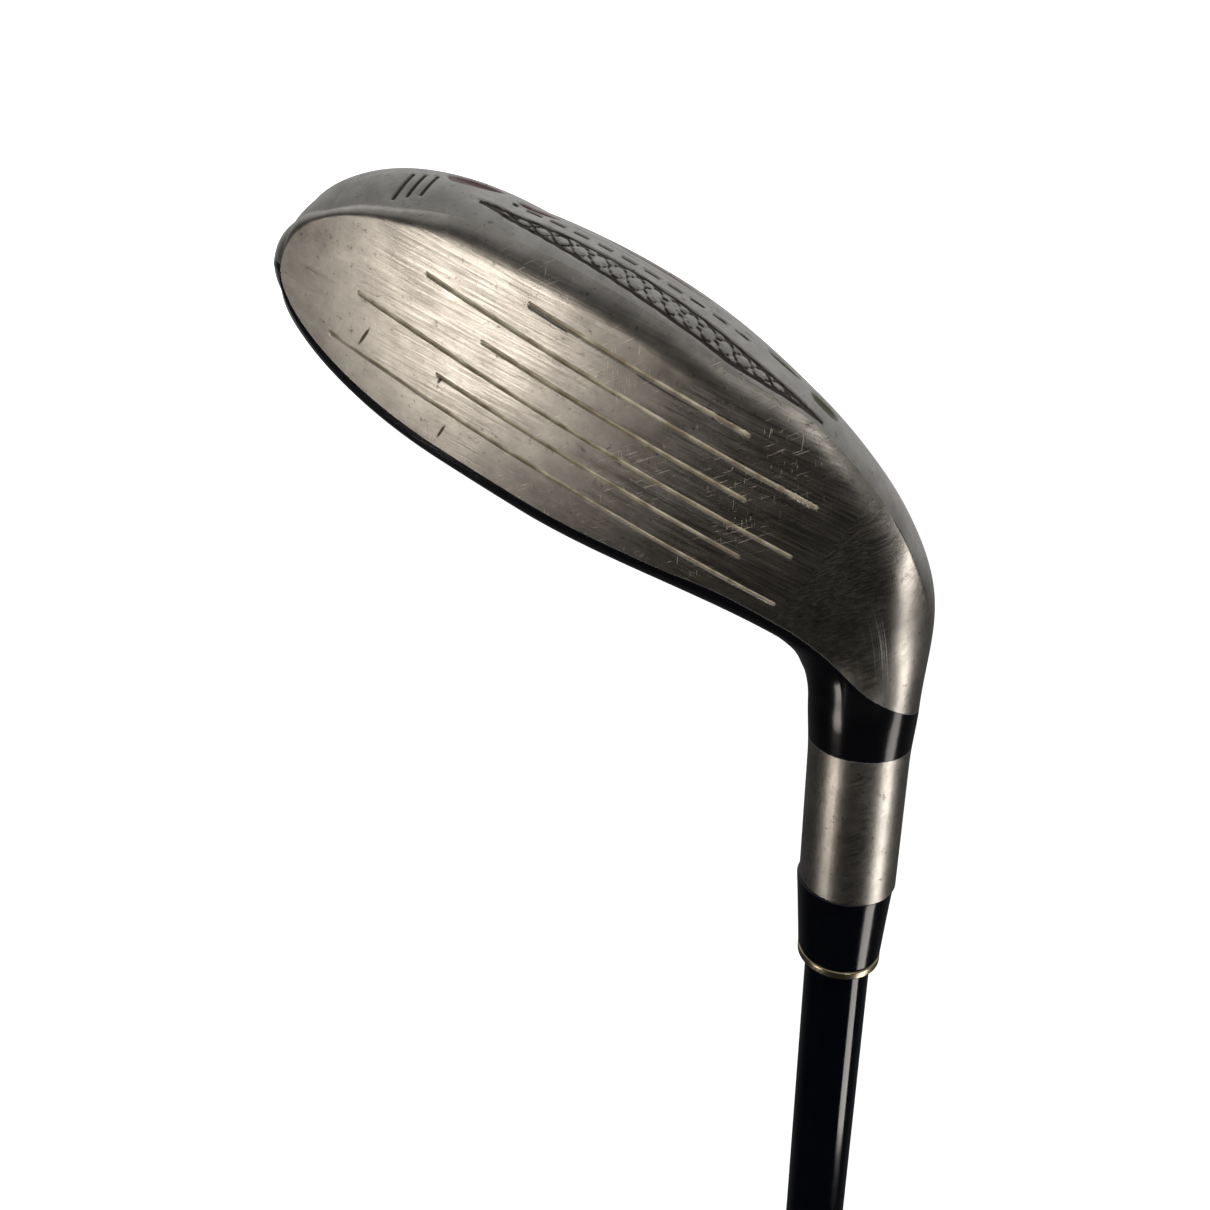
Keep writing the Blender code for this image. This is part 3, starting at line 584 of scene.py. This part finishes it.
def paint_reach():
    """Distance above the mask's edge, in mm: positive where the head is sprayed black."""
    toe_ward = face_top_z(np.clip(X, CROOK_X, FACE_TOE_X)) - 0.9
    heel_ward = 26.6 + 2.5 * eased((-31 - X) / 15)
    front = toe_ward + (heel_ward - toe_ward) * eased((-14 - X) / 14)
    rear = 12.5 + 14.5 * eased((-20 - X) / 22) + 9 * eased((X - 22) / 20)
    mask = front + (rear - front) * eased((Y - 15) / 14)
    reach = Z - mask
    on_lip = on_head & (row >= starts[1]) & (row < starts[2]) & (X > -14)
    reach = np.where(on_lip, np.maximum(reach, 0.12), reach)
    along = -(X - AXIS_X) * math.cos(LIE) + Z * math.sin(LIE)
    return np.minimum(reach, PAINT_TOP - along)


paint = paint_reach()


def in_club(points):
    """Address millimetres to the club's metres: turned so that the shaft axis is Z."""
    x, y, z = points[..., 0] - AXIS_X, points[..., 1] - AXIS_Y, points[..., 2]
    across = -math.sin(LIE) * x - math.cos(LIE) * z
    up = CLUB_LENGTH / MM + math.cos(LIE) * x - math.sin(LIE) * z
    return np.stack((across, y, up), -1) * MM


# Wall thickness, thinner where the toe closes. The skin lies a hair inside the solid it stands for.
WALL = np.minimum(1.0, 0.3 * (at["far"] - at["near"]))[:, None, None]
UNDERSIZE = 0.06
outer = in_club(skin - (sunk + UNDERSIZE)[..., None] * skin_normal).reshape(-1, 3)
inner = in_club(skin - WALL * skin_normal).reshape(-1, 3)
cells = grid_faces(*skin.shape[:2], wrap_columns=True)
cell_station, cell_row = np.divmod(np.arange(len(cells)), skin.shape[1])


def head_plate(name, chosen, finish):
    """A closed plate of the chosen cells: outer skin, inner skin one wall below it, a rim between them."""
    picked = cells[chosen]
    used, compact = np.unique(picked, return_inverse=True)
    picked = compact.reshape(-1, 4)
    count = len(used)
    loops = np.stack((picked, np.roll(picked, -1, axis=1)), 2).reshape(-1, 2)
    keys = loops[:, 0] * count + loops[:, 1]
    rim = loops[~np.isin(keys, loops[:, 1] * count + loops[:, 0])]
    walls = np.stack((rim[:, 1], rim[:, 0], rim[:, 0] + count, rim[:, 1] + count), 1)
    points = np.concatenate((outer[used], inner[used]))
    faces = np.concatenate((picked, picked[:, ::-1] + count, walls))
    corner = points[faces[: len(picked)]]
    facing = np.cross(corner[:, 2] - corner[:, 0], corner[:, 3] - corner[:, 1])
    away = corner.mean(1) - inner[used][compact.reshape(-1, 4)].mean(1)
    if (facing * away).sum() < 0:
        faces = faces[:, ::-1]
    obj = mesh_object(name, points, faces, finish)
    for label, field in (("paint", paint), ("score", score), ("lines", lines), ("pockets", pockets)):
        held = obj.data.attributes.new(label, "FLOAT", "POINT")
        held.data.foreach_set("value", np.tile(field.ravel()[used], 2).astype(np.float32))
    obj.data.set_sharp_from_angle(angle=math.radians(42))
    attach(obj, "root")
    return obj


def head_place(tree):
    """Object coordinates turned back to the address pose, in metres."""
    raw = add_node(tree, "ShaderNodeTexCoord", give="Object")
    turn = {"Vector": raw, "Location": (0, 0, CLUB_LENGTH), "Rotation": (0, -LIE - math.pi / 2, 0)}
    turned = add_node(tree, "ShaderNodeMapping", turn, vector_type="TEXTURE")
    foot = (AXIS_X * MM, AXIS_Y * MM, 0)
    return add_node(tree, "ShaderNodeVectorMath", {0: turned, 1: foot}, operation="ADD")


def streaks(tree, place, slant, length, depth, width, detail=2.0):
    """Noise drawn out along a slant across the face: length, depth and width in mm."""
    turned = add_node(tree, "ShaderNodeMapping", {"Vector": place, "Rotation": (0, math.radians(slant), 0)})
    stretch = (1 / (length * MM), 1 / (depth * MM), 1 / (width * MM))
    drawn = add_node(tree, "ShaderNodeMapping", {"Vector": turned, "Scale": stretch})
    return add_node(tree, "ShaderNodeTexNoise", {"Vector": drawn, "Scale": 1.0, "Detail": detail})


def tick(tree, place, x, z, slant, length, width):
    """One short dent: 1 on its middle, 0 outside an ellipse of a length and width in mm."""
    spot = {"Vector": place, "Location": (x * MM, 0, z * MM), "Rotation": (0, math.radians(-slant), 0)}
    spot["Scale"] = (length / 2 * MM, 1.0, width / 2 * MM)
    near = add_node(tree, "ShaderNodeMapping", spot, vector_type="TEXTURE")
    reach = add_node(tree, "ShaderNodeVectorMath", {0: near}, "Value", operation="LENGTH")
    return add_node(tree, "ShaderNodeMapRange", {0: reach, 1: 1.0, 2: 0.6})


# Each dent: x, height, slant from the ground line, length and width.
TICKS = ((30.3, 21.6, 71, 3.8, 0.5), (17.4, 27.4, 76, 3.0, 0.45), (19.4, 20.9, 73, 1.6, 0.5))


def satin_steel(tree, place, slant, depth, pale, dark):
    """Blasted and brushed stainless steel: a soft glow with cloudy tone, dark specks and fine brush lines."""
    brushed = streaks(tree, place, slant, 6.0, depth, 0.22, 3.0)
    grain = {"Vector": place, "Scale": 1 / (0.32 * MM), "Detail": 3.0, "Roughness": 0.6}
    stipple = add_node(tree, "ShaderNodeTexNoise", grain)
    cloud = {"Vector": place, "Scale": 1 / (5.0 * MM), "Detail": 5.0, "Roughness": 0.7}
    clouds = add_node(tree, "ShaderNodeTexNoise", cloud)
    cloud_share = add_node(tree, "ShaderNodeMapRange", {0: clouds, 1: 0.34, 2: 0.66})
    tones = {0: cloud_share, 6: colour(dark), 7: colour(pale)}
    tint = add_node(tree, "ShaderNodeMix", tones, 2, data_type="RGBA")
    speck = {"Vector": place, "Scale": 1 / (0.9 * MM), "Detail": 4.0, "Roughness": 0.75}
    specks = add_node(tree, "ShaderNodeTexNoise", speck)
    speck_share = add_node(tree, "ShaderNodeMapRange", {0: specks, 1: 0.30, 2: 0.40, 3: 0.65, 4: 0.0})
    tones = {0: speck_share, 6: tint, 7: colour("#3a332d")}
    tint = add_node(tree, "ShaderNodeMix", tones, 2, data_type="RGBA")
    rough = add_node(tree, "ShaderNodeMapRange", {0: brushed, 1: 0.3, 2: 0.7, 3: 0.28, 4: 0.42})
    relief = add_node(tree, "ShaderNodeMath", {0: stipple, 1: 0.5, 2: brushed}, operation="MULTIPLY_ADD")
    return tint, rough, relief


def finish_head(tree, tint, metal, rough, relief, strength):
    """One coat of settings for every head material."""
    bump = add_node(tree, "ShaderNodeBump", {"Height": relief, "Strength": strength, "Distance": 0.00004})
    settings = {"Base Color": tint, "Metallic": metal, "Roughness": rough, "Normal": bump}
    coat = add_node(tree, "ShaderNodeBsdfPrincipled", settings)
    add_node(tree, "ShaderNodeOutputMaterial", {"Surface": coat})


def face_steel():
    """The face: brushed along its length, crossed by pale ball marks, with cream paint in the score lines."""
    made, tree = new_material("brushed maraging steel")
    place = head_place(tree)
    tint, rough, relief = satin_steel(tree, place, 4, 12.0, "#c2beb7", "#9f9b95")
    # Pale scratches lie mostly in the middle and the heel half, where the ball has struck.
    long_marks = streaks(tree, place, 52, 2.6, 9.0, 0.14, 1.0)
    scratches = add_node(tree, "ShaderNodeMapRange", {0: long_marks, 1: 0.66, 2: 0.72})
    short_marks = streaks(tree, place, -64, 1.8, 9.0, 0.16, 1.0)
    nicks = add_node(tree, "ShaderNodeMapRange", {0: short_marks, 1: 0.69, 2: 0.75})
    both = add_node(tree, "ShaderNodeMath", {0: scratches, 1: nicks}, operation="MAXIMUM")
    patch = add_node(tree, "ShaderNodeTexNoise", {"Vector": place, "Scale": 1 / (9.0 * MM), "Detail": 2.0})
    patch_share = add_node(tree, "ShaderNodeMapRange", {0: patch, 1: 0.38, 2: 0.55})
    along = add_node(tree, "ShaderNodeSeparateXYZ", {"Vector": place}, "X")
    struck = add_node(tree, "ShaderNodeMapRange", {0: along, 1: 0.022, 2: 0.004, 3: 0.2, 4: 1.0})
    off_heel = add_node(tree, "ShaderNodeMapRange", {0: along, 1: -0.028, 2: -0.020})
    where = add_node(tree, "ShaderNodeMath", {0: patch_share, 1: struck}, operation="MULTIPLY")
    where = add_node(tree, "ShaderNodeMath", {0: where, 1: off_heel}, operation="MULTIPLY")
    marks = add_node(tree, "ShaderNodeMath", {0: both, 1: where}, operation="MULTIPLY")
    tint = add_node(tree, "ShaderNodeMix", {0: marks, 6: tint, 7: colour("#f4ecdc")}, 2, data_type="RGBA")
    rough = add_node(tree, "ShaderNodeMath", {0: marks, 1: 0.30, 2: rough}, operation="MULTIPLY_ADD")
    # Three dark dents near the toe.
    dents = 0.0
    for x, z, slant, length, width in TICKS:
        dent = tick(tree, place, x, z, slant, length, width)
        dents = add_node(tree, "ShaderNodeMath", {0: dents, 1: dent}, operation="MAXIMUM")
    tint = add_node(tree, "ShaderNodeMix", {0: dents, 6: tint, 7: colour("#4a423a")}, 2, data_type="RGBA")
    # Old cream paint in the score lines, worn thin in places.
    score = add_node(tree, "ShaderNodeAttribute", None, "Fac", attribute_name="score")
    filled = add_node(tree, "ShaderNodeMapRange", {0: score, 1: -0.03, 2: 0.03})
    worn = add_node(tree, "ShaderNodeTexNoise", {"Vector": place, "Scale": 1 / (2.4 * MM), "Detail": 3.0})
    wear = add_node(tree, "ShaderNodeMapRange", {0: worn, 1: 0.38, 2: 0.66})
    cream = {0: wear, 6: colour("#8b7d66"), 7: colour("#c4bda6")}
    cream = add_node(tree, "ShaderNodeMix", cream, 2, data_type="RGBA")
    tint = add_node(tree, "ShaderNodeMix", {0: filled, 6: tint, 7: cream}, 2, data_type="RGBA")
    rough = add_node(tree, "ShaderNodeMix", {0: filled, 2: rough, 3: 0.6})
    # The crown's black lacquer laps over the top of the face cup.
    paint_reach_value = add_node(tree, "ShaderNodeAttribute", None, "Fac", attribute_name="paint")
    black = add_node(tree, "ShaderNodeMapRange", {0: paint_reach_value, 1: -0.04, 2: 0.04})
    tint = add_node(tree, "ShaderNodeMix", {0: black, 6: tint, 7: colour("#07070a")}, 2, data_type="RGBA")
    rough = add_node(tree, "ShaderNodeMix", {0: black, 2: rough, 3: 0.16})
    covered = add_node(tree, "ShaderNodeMath", {0: filled, 1: black}, operation="MAXIMUM")
    metal = add_node(tree, "ShaderNodeMath", {0: 1.0, 1: covered}, operation="SUBTRACT")
    finish_head(tree, tint, metal, rough, relief, 0.35)
    return made


def body_steel():
    """The casting: blasted satin at hosel and heel, with thick gloss black lacquer where it is sprayed."""
    made, tree = new_material("cast steel with black lacquer")
    place = head_place(tree)
    tint, rough, relief = satin_steel(tree, place, 60.5, 0.22, "#c2beb7", "#a4a09a")
    fray = {"Vector": place, "Scale": 1 / (0.6 * MM), "Detail": 3.0, "Roughness": 0.6}
    fray = add_node(tree, "ShaderNodeTexNoise", fray)
    jitter = add_node(tree, "ShaderNodeMapRange", {0: fray, 1: 0.3, 2: 0.7, 3: -0.05, 4: 0.05})
    sprayed = add_node(tree, "ShaderNodeAttribute", None, "Fac", attribute_name="paint")
    edge = add_node(tree, "ShaderNodeMath", {0: sprayed, 1: jitter}, operation="ADD")
    black = add_node(tree, "ShaderNodeMapRange", {0: edge, 1: -0.05, 2: 0.05})
    tint = add_node(tree, "ShaderNodeMix", {0: black, 6: tint, 7: colour("#07070a")}, 2, data_type="RGBA")
    rough = add_node(tree, "ShaderNodeMix", {0: black, 2: rough, 3: 0.16})
    peel = {"Vector": place, "Scale": 1 / (1.6 * MM), "Detail": 1.0, "Roughness": 0.6}
    peel = add_node(tree, "ShaderNodeTexNoise", peel)
    raised = add_node(tree, "ShaderNodeMath", {0: 0.6, 1: peel}, operation="ADD")
    relief = add_node(tree, "ShaderNodeMix", {0: black, 2: relief, 3: raised})
    metal = add_node(tree, "ShaderNodeMath", {0: 1.0, 1: black}, operation="SUBTRACT")
    finish_head(tree, tint, metal, rough, relief, 0.3)
    return made


def sole_steel():
    """The sole plate: brushed, with engraving filled in dark brown and pockets in maroon and olive."""
    made, tree = new_material("brushed sole steel")
    place = head_place(tree)
    flat = add_node(tree, "ShaderNodeMapping", {"Vector": place, "Rotation": (math.pi / 2, 0, 0)})
    tint, rough, relief = satin_steel(tree, flat, 0, 12.0, "#bab7b1", "#9d9a95")
    along = add_node(tree, "ShaderNodeSeparateXYZ", {"Vector": place}, "X")
    toe_share = add_node(tree, "ShaderNodeMapRange", {0: along, 1: -0.009, 2: -0.008})
    enamel = {0: toe_share, 6: colour("#4b4a22"), 7: colour("#5a1f22")}
    enamel = add_node(tree, "ShaderNodeMix", enamel, 2, data_type="RGBA")
    cut = add_node(tree, "ShaderNodeAttribute", None, "Fac", attribute_name="lines")
    dark_fill = add_node(tree, "ShaderNodeMapRange", {0: cut, 1: -0.03, 2: 0.05})
    tint = add_node(tree, "ShaderNodeMix", {0: dark_fill, 6: tint, 7: colour("#2b211a")}, 2, data_type="RGBA")
    hollow = add_node(tree, "ShaderNodeAttribute", None, "Fac", attribute_name="pockets")
    pocket_fill = add_node(tree, "ShaderNodeMapRange", {0: hollow, 1: 0.05, 2: 0.25})
    tint = add_node(tree, "ShaderNodeMix", {0: pocket_fill, 6: tint, 7: enamel}, 2, data_type="RGBA")
    covered = add_node(tree, "ShaderNodeMath", {0: dark_fill, 1: pocket_fill}, operation="MAXIMUM")
    metal = add_node(tree, "ShaderNodeMath", {0: 1.0, 1: covered}, operation="SUBTRACT")
    finish_head(tree, tint, metal, rough, relief, 0.3)
    return made


CUP_HEEL_X = -30.0
cup_start = int(np.searchsorted(past, CUP_HEEL_X)) + first_head
in_cup = cell_station >= cup_start
# Past the end of the face its rows lie on one line, so those cells belong to no piece.
face_rows_only = cell_row < starts[1]
past_face = face_rows_only & (cell_station >= face_end)
cup = in_cup & ((face_rows_only & ~past_face) | (cell_row >= starts[5]))
sole = in_cup & (cell_row >= starts[4]) & (cell_row < starts[5])

face_cup = head_plate("face_cup", cup, face_steel())
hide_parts("face_plate")

sole_piece = head_plate("sole_plate_skin", sole, sole_steel())
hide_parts("sole_plate")

body = head_plate("body_and_hosel", ~(cup | sole | past_face), body_steel())
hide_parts("body_casting")

# ------------------------------------------------------------------ ferrule and trim ring
# A tapered gloss plastic collar hides the joint of shaft and hosel. A thin turned aluminium ring in a
# champagne anodise closes its lower end.


def turned_piece(name, profile, finish, stands_for):
    """A closed (radius, z) profile in mm carried round Z: x = r cos, y = r sin."""
    angle = np.linspace(0, 2 * np.pi, n_turn, endpoint=False)[:, None]
    profile = np.asarray(profile, float) * MM
    radius, level = profile[:, 0], profile[:, 1]
    points = np.stack((radius * np.cos(angle), radius * np.sin(angle), level + 0 * angle), -1)
    faces = grid_faces(n_turn, len(profile), wrap_rows=True, wrap_columns=True)
    area = 0.5 * np.sum(radius * np.roll(level, -1) - np.roll(radius, -1) * level)
    if area > 0:
        faces = faces[:, ::-1]
    obj = mesh_object(name, points.reshape(-1, 3), faces, finish)
    obj.data.set_sharp_from_angle(angle=math.radians(32))
    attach(obj, "root")
    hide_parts(stands_for)
    return obj


HOSEL_Z = CLUB_LENGTH / MM - HOSEL_TOP
FERRULE_LENGTH = 12.6
RING_LENGTH = 1.3
COLLAR_RADIUS = 5.95
BORE_RADIUS = 5.0


def gloss_material(name, code, mottle_code, grain, rough, relief_size, relief):
    """A smooth dark finish with faint clouds, slightly uneven gloss and a soft ripple."""
    made, tree = new_material(name)
    place = add_node(tree, "ShaderNodeTexCoord", give="Object")
    cloud = {"Vector": place, "Scale": 1 / (grain * MM), "Detail": 3.0, "Roughness": 0.6}
    clouds = add_node(tree, "ShaderNodeTexNoise", cloud)
    pair = {0: clouds, 6: colour(code), 7: colour(mottle_code)}
    tint = add_node(tree, "ShaderNodeMix", pair, 2, data_type="RGBA")
    wave = {"Vector": place, "Scale": 1 / (relief_size * MM), "Detail": 2.0, "Roughness": 0.6}
    ripple = add_node(tree, "ShaderNodeTexNoise", wave)
    bump = add_node(tree, "ShaderNodeBump", {"Height": ripple, "Strength": relief, "Distance": 0.00004})
    uneven = {0: clouds, 1: 0.3, 2: 0.7, 3: rough * 0.8, 4: rough * 1.2}
    gloss = add_node(tree, "ShaderNodeMapRange", uneven)
    settings = {"Base Color": tint, "Roughness": gloss, "Normal": bump}
    coat = add_node(tree, "ShaderNodeBsdfPrincipled", settings)
    add_node(tree, "ShaderNodeOutputMaterial", {"Surface": coat})
    return made


ferrule_top = HOSEL_Z - 0.08
ferrule_low = ferrule_top - FERRULE_LENGTH
share = np.linspace(0, 1, 24)[1:]
taper_radius = NECK_RADIUS + (COLLAR_RADIUS - NECK_RADIUS) * share**0.9
taper_level = ferrule_top - FERRULE_LENGTH * (0.015 + 0.955 * share)
ferrule_profile = [(6.62, ferrule_top), (6.78, ferrule_top - 0.16)]
ferrule_profile += list(zip(taper_radius, taper_level))
ferrule_profile += [(COLLAR_RADIUS - 0.3, ferrule_low), (BORE_RADIUS, ferrule_low)]
ferrule_profile += [(BORE_RADIUS, ferrule_top)]
ferrule_plastic = gloss_material("gloss cellulose ferrule", "#020307", "#04050b", 2.0, 0.14, 3.0, 0.2)
turned_piece("ferrule_collar", ferrule_profile, ferrule_plastic, "ferrule")


def ring_metal():
    """Turned and anodised aluminium: fine lathe lines round the axis and a pale champagne colour."""
    made, tree = new_material("champagne anodised aluminium")
    place = add_node(tree, "ShaderNodeTexCoord", give="Object")
    lathe = {"Vector": place, "Scale": (200.0, 200.0, 1 / (0.08 * MM))}
    cut = add_node(tree, "ShaderNodeMapping", lathe)
    lines_round = add_node(tree, "ShaderNodeTexNoise", {"Vector": cut, "Scale": 1.0, "Detail": 2.0})
    pair = {0: lines_round, 6: colour("#b9aa8c"), 7: colour("#d8ccb2")}
    tint = add_node(tree, "ShaderNodeMix", pair, 2, data_type="RGBA")
    bump = add_node(tree, "ShaderNodeBump", {"Height": lines_round, "Strength": 0.3, "Distance": 0.00003})
    rough = add_node(tree, "ShaderNodeMapRange", {0: lines_round, 1: 0.3, 2: 0.7, 3: 0.22, 4: 0.34})
    settings = {"Base Color": tint, "Metallic": 1.0, "Roughness": rough, "Normal": bump}
    coat = add_node(tree, "ShaderNodeBsdfPrincipled", settings)
    add_node(tree, "ShaderNodeOutputMaterial", {"Surface": coat})
    return made


ring_top = ferrule_low - 0.08
ring_low = ring_top - RING_LENGTH
RING_EDGE = 0.25
edge_radius, edge_top, edge_low = COLLAR_RADIUS - RING_EDGE, ring_top - RING_EDGE, ring_low + RING_EDGE
turns_in = np.radians(np.linspace(0, 90, 6))
ring_profile = [(edge_radius + RING_EDGE * np.sin(a), edge_top + RING_EDGE * np.cos(a)) for a in turns_in]
ring_profile += [(edge_radius + RING_EDGE * np.cos(a), edge_low - RING_EDGE * np.sin(a)) for a in turns_in]
ring_profile += [(BORE_RADIUS, ring_low), (BORE_RADIUS, ring_top)]
turned_piece("trim_ring", ring_profile, ring_metal(), "ferrule_ring")

# ------------------------------------------------------------------ shaft
# A tapered graphite tube, rolled from carbon prepreg, ground and sprayed with a deep navy-black
# lacquer. Its tip is bonded in the hosel and its butt runs under the grip to the cap.

TIP_Z = CLUB_LENGTH / MM - (HOSEL_TOP - 32.3)
TIP_RADIUS, BUTT_RADIUS = 4.7, 7.62
TIP_PARALLEL = 100.0
taper_end = TIP_Z - TIP_PARALLEL
levels = np.concatenate((np.linspace(TIP_Z, taper_end, 30, endpoint=False), np.linspace(taper_end, 3.0, 160)))
taper = np.clip((taper_end - levels) / taper_end, 0, 1)
shaft_outer = np.stack((TIP_RADIUS + (BUTT_RADIUS - TIP_RADIUS) * taper, levels), 1)
shaft_inner = np.array(((BUTT_RADIUS - 0.9, 3.0), (3.0, taper_end), (3.0, TIP_Z)))
shaft_lacquer = gloss_material("navy-black lacquered graphite", "#010206", "#03050c", 3.0, 0.10, 5.0, 0.15)
shaft_profile = np.concatenate((shaft_outer, shaft_inner))
turned_piece("shaft_tube", shaft_profile, shaft_lacquer, "shaft")

# ------------------------------------------------------------------ grip
# A compression-moulded rubber sleeve over double-sided tape, with fine crossed grooves that give it
# bite. The cap at the butt is moulded with it, with a vent hole for fitting.

GRIP_LENGTH = 267.0
CAP_HEIGHT = 6.0
CAP_RADIUS, MOUTH_RADIUS, CAP_FLAT, VENT_RADIUS = 13.3, 8.9, 10.5, 1.3
SLEEVE_LOW, MOUTH_ROUND = 6.1, 1.2
GROOVE_PITCH, GROOVE_DEPTH, RING_DEPTH = 9.0, 0.35, 0.4


def rubber(name, code, worn_code):
    """Moulded rubber: matt, with a fine grain and paler rubbed patches."""
    made, tree = new_material(name)
    place = add_node(tree, "ShaderNodeTexCoord", give="Object")
    fine = {"Vector": place, "Scale": 1 / (0.5 * MM), "Detail": 3.0, "Roughness": 0.6}
    grain = add_node(tree, "ShaderNodeTexNoise", fine)
    patch = {"Vector": place, "Scale": 1 / (14.0 * MM), "Detail": 3.0, "Roughness": 0.6}
    patches = add_node(tree, "ShaderNodeTexNoise", patch)
    rubbed = add_node(tree, "ShaderNodeMapRange", {0: patches, 1: 0.45, 2: 0.75})
    pair = {0: rubbed, 6: colour(code), 7: colour(worn_code)}
    tint = add_node(tree, "ShaderNodeMix", pair, 2, data_type="RGBA")
    bump = add_node(tree, "ShaderNodeBump", {"Height": grain, "Strength": 0.6, "Distance": 0.0001})
    rough = add_node(tree, "ShaderNodeMapRange", {0: grain, 1: 0.3, 2: 0.7, 3: 0.62, 4: 0.82})
    settings = {"Base Color": tint, "Roughness": rough, "Normal": bump}
    coat = add_node(tree, "ShaderNodeBsdfPrincipled", settings)
    add_node(tree, "ShaderNodeOutputMaterial", {"Surface": coat})
    return made


def grip_skin():
    """Grip radius less a groove: two families of helices, fading out at the plain bands and at both ends."""
    mouth = np.linspace(GRIP_LENGTH, GRIP_LENGTH - MOUTH_ROUND, 6)
    level = np.concatenate((mouth, np.linspace(GRIP_LENGTH - 1.6, SLEEVE_LOW, 520)))
    angle = np.linspace(0, 2 * np.pi, 120, endpoint=False)[:, None]
    share = np.clip((level - CAP_HEIGHT) / (GRIP_LENGTH - CAP_HEIGHT), 0, 1)
    radius = MOUTH_RADIUS + (CAP_RADIUS - MOUTH_RADIUS) * (1 - share) ** 1.6
    near_mouth = np.clip((level - GRIP_LENGTH + MOUTH_ROUND) / MOUTH_ROUND, 0, 1)
    radius = radius - 0.7 * (1 - np.sqrt(1 - near_mouth**2))
    left = np.abs(((angle * 6 / (2 * np.pi) + level / GROOVE_PITCH) % 1.0) - 0.5)
    right = np.abs(((angle * 6 / (2 * np.pi) - level / GROOVE_PITCH) % 1.0) - 0.5)
    groove = eased(1 - np.minimum(left, right) / 0.10)
    zone = np.zeros_like(level)
    for low, high in ((14, 62), (70, 128), (136, 194), (202, 252)):
        zone = np.maximum(zone, eased((level - low) / 3) * eased((high - level) / 3))
    ring = sum(eased(1 - np.abs(level - place) / 0.9) for place in (10.5, 66.0, 132.0, 198.0, 257.0))
    radius = radius - GROOVE_DEPTH * groove * zone - RING_DEPTH * ring
    points = np.stack((radius * np.cos(angle), radius * np.sin(angle), level + 0 * angle), -1)
    bore_radius, bore_level = np.array(((8.05, 7.5), (SLEEVE_LOW, GRIP_LENGTH)))
    bore = np.stack((bore_radius * np.cos(angle), bore_radius * np.sin(angle), bore_level + 0 * angle), -1)
    return np.concatenate((points, bore), 1) * MM


sleeve = grip_skin()
sleeve_faces = grid_faces(*sleeve.shape[:2], wrap_rows=True, wrap_columns=True)
grip_rubber = rubber("moulded grip rubber", "#151515", "#24231f")
grip = mesh_object("grip_sleeve_moulding", sleeve.reshape(-1, 3), sleeve_faces, grip_rubber)
grip.data.set_sharp_from_angle(angle=math.radians(40))
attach(grip, "root")
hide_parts("grip_sleeve")

arc = np.radians(np.linspace(0, 90, 14))
cap_round = CAP_RADIUS - CAP_FLAT
dome_profile = [(CAP_RADIUS, CAP_HEIGHT)]
dome_profile += [(CAP_FLAT + cap_round * math.cos(a), cap_round * (1 - math.sin(a))) for a in arc]
dome_profile += [(8.6, 0.0), (8.3, 0.35), (7.4, 0.35), (7.1, 0.0)]
dome_profile += [(VENT_RADIUS + 0.3, 0.0), (VENT_RADIUS, 0.3)]
dome_profile += [(VENT_RADIUS, 2.7), (7.92, 2.7), (7.92, CAP_HEIGHT)]
cap_rubber = rubber("moulded cap rubber", "#191919", "#2a2926")
turned_piece("grip_end_cap", dome_profile, cap_rubber, "grip_cap")

# ------------------------------------------------------------------ inside pieces
# The slug, the resin pad, the shaft stop, the tip pin and the grip tape never show on the finished
# club. They keep the shapes made in the CAD model and get their own finishes.


def hidden_finish(name, code, second, metallic, rough, grain):
    """A plain material with a two-tone grain of a size in mm."""
    made, tree = new_material(name)
    place = add_node(tree, "ShaderNodeTexCoord", give="Object")
    fleck = {"Vector": place, "Scale": 1 / (grain * MM), "Detail": 3.0, "Roughness": 0.6}
    spots = add_node(tree, "ShaderNodeTexNoise", fleck)
    pair = {0: spots, 6: colour(code), 7: colour(second)}
    tint = add_node(tree, "ShaderNodeMix", pair, 2, data_type="RGBA")
    bump = add_node(tree, "ShaderNodeBump", {"Height": spots, "Strength": 0.4, "Distance": 0.00005})
    dull = add_node(tree, "ShaderNodeMapRange", {0: spots, 1: 0.3, 2: 0.7, 3: rough * 0.85, 4: rough})
    settings = {"Base Color": tint, "Metallic": metallic, "Roughness": dull, "Normal": bump}
    coat = add_node(tree, "ShaderNodeBsdfPrincipled", settings)
    add_node(tree, "ShaderNodeOutputMaterial", {"Surface": coat})
    return made


INSIDE = (
    ("rear_weight", hidden_finish("sintered tungsten alloy", "#6a6a6c", "#8a8a8c", 1.0, 0.5, 0.3)),
    ("hot_melt_pad", hidden_finish("sticky resin", "#8a6a2c", "#b08a44", 0.0, 0.45, 1.5)),
    ("hosel_plug", hidden_finish("white nylon", "#d4d2ca", "#e6e4de", 0.0, 0.5, 0.8)),
    ("tip_weight_pin", hidden_finish("turned brass", "#a8843c", "#c8a45a", 1.0, 0.35, 0.4)),
    ("grip_tape", hidden_finish("paper grip tape", "#b8aa84", "#cfc4a2", 0.0, 0.85, 0.5)),
)
for node, finish in INSIDE:
    for material_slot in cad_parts[node].material_slots:
        material_slot.link = "OBJECT"
        material_slot.material = finish
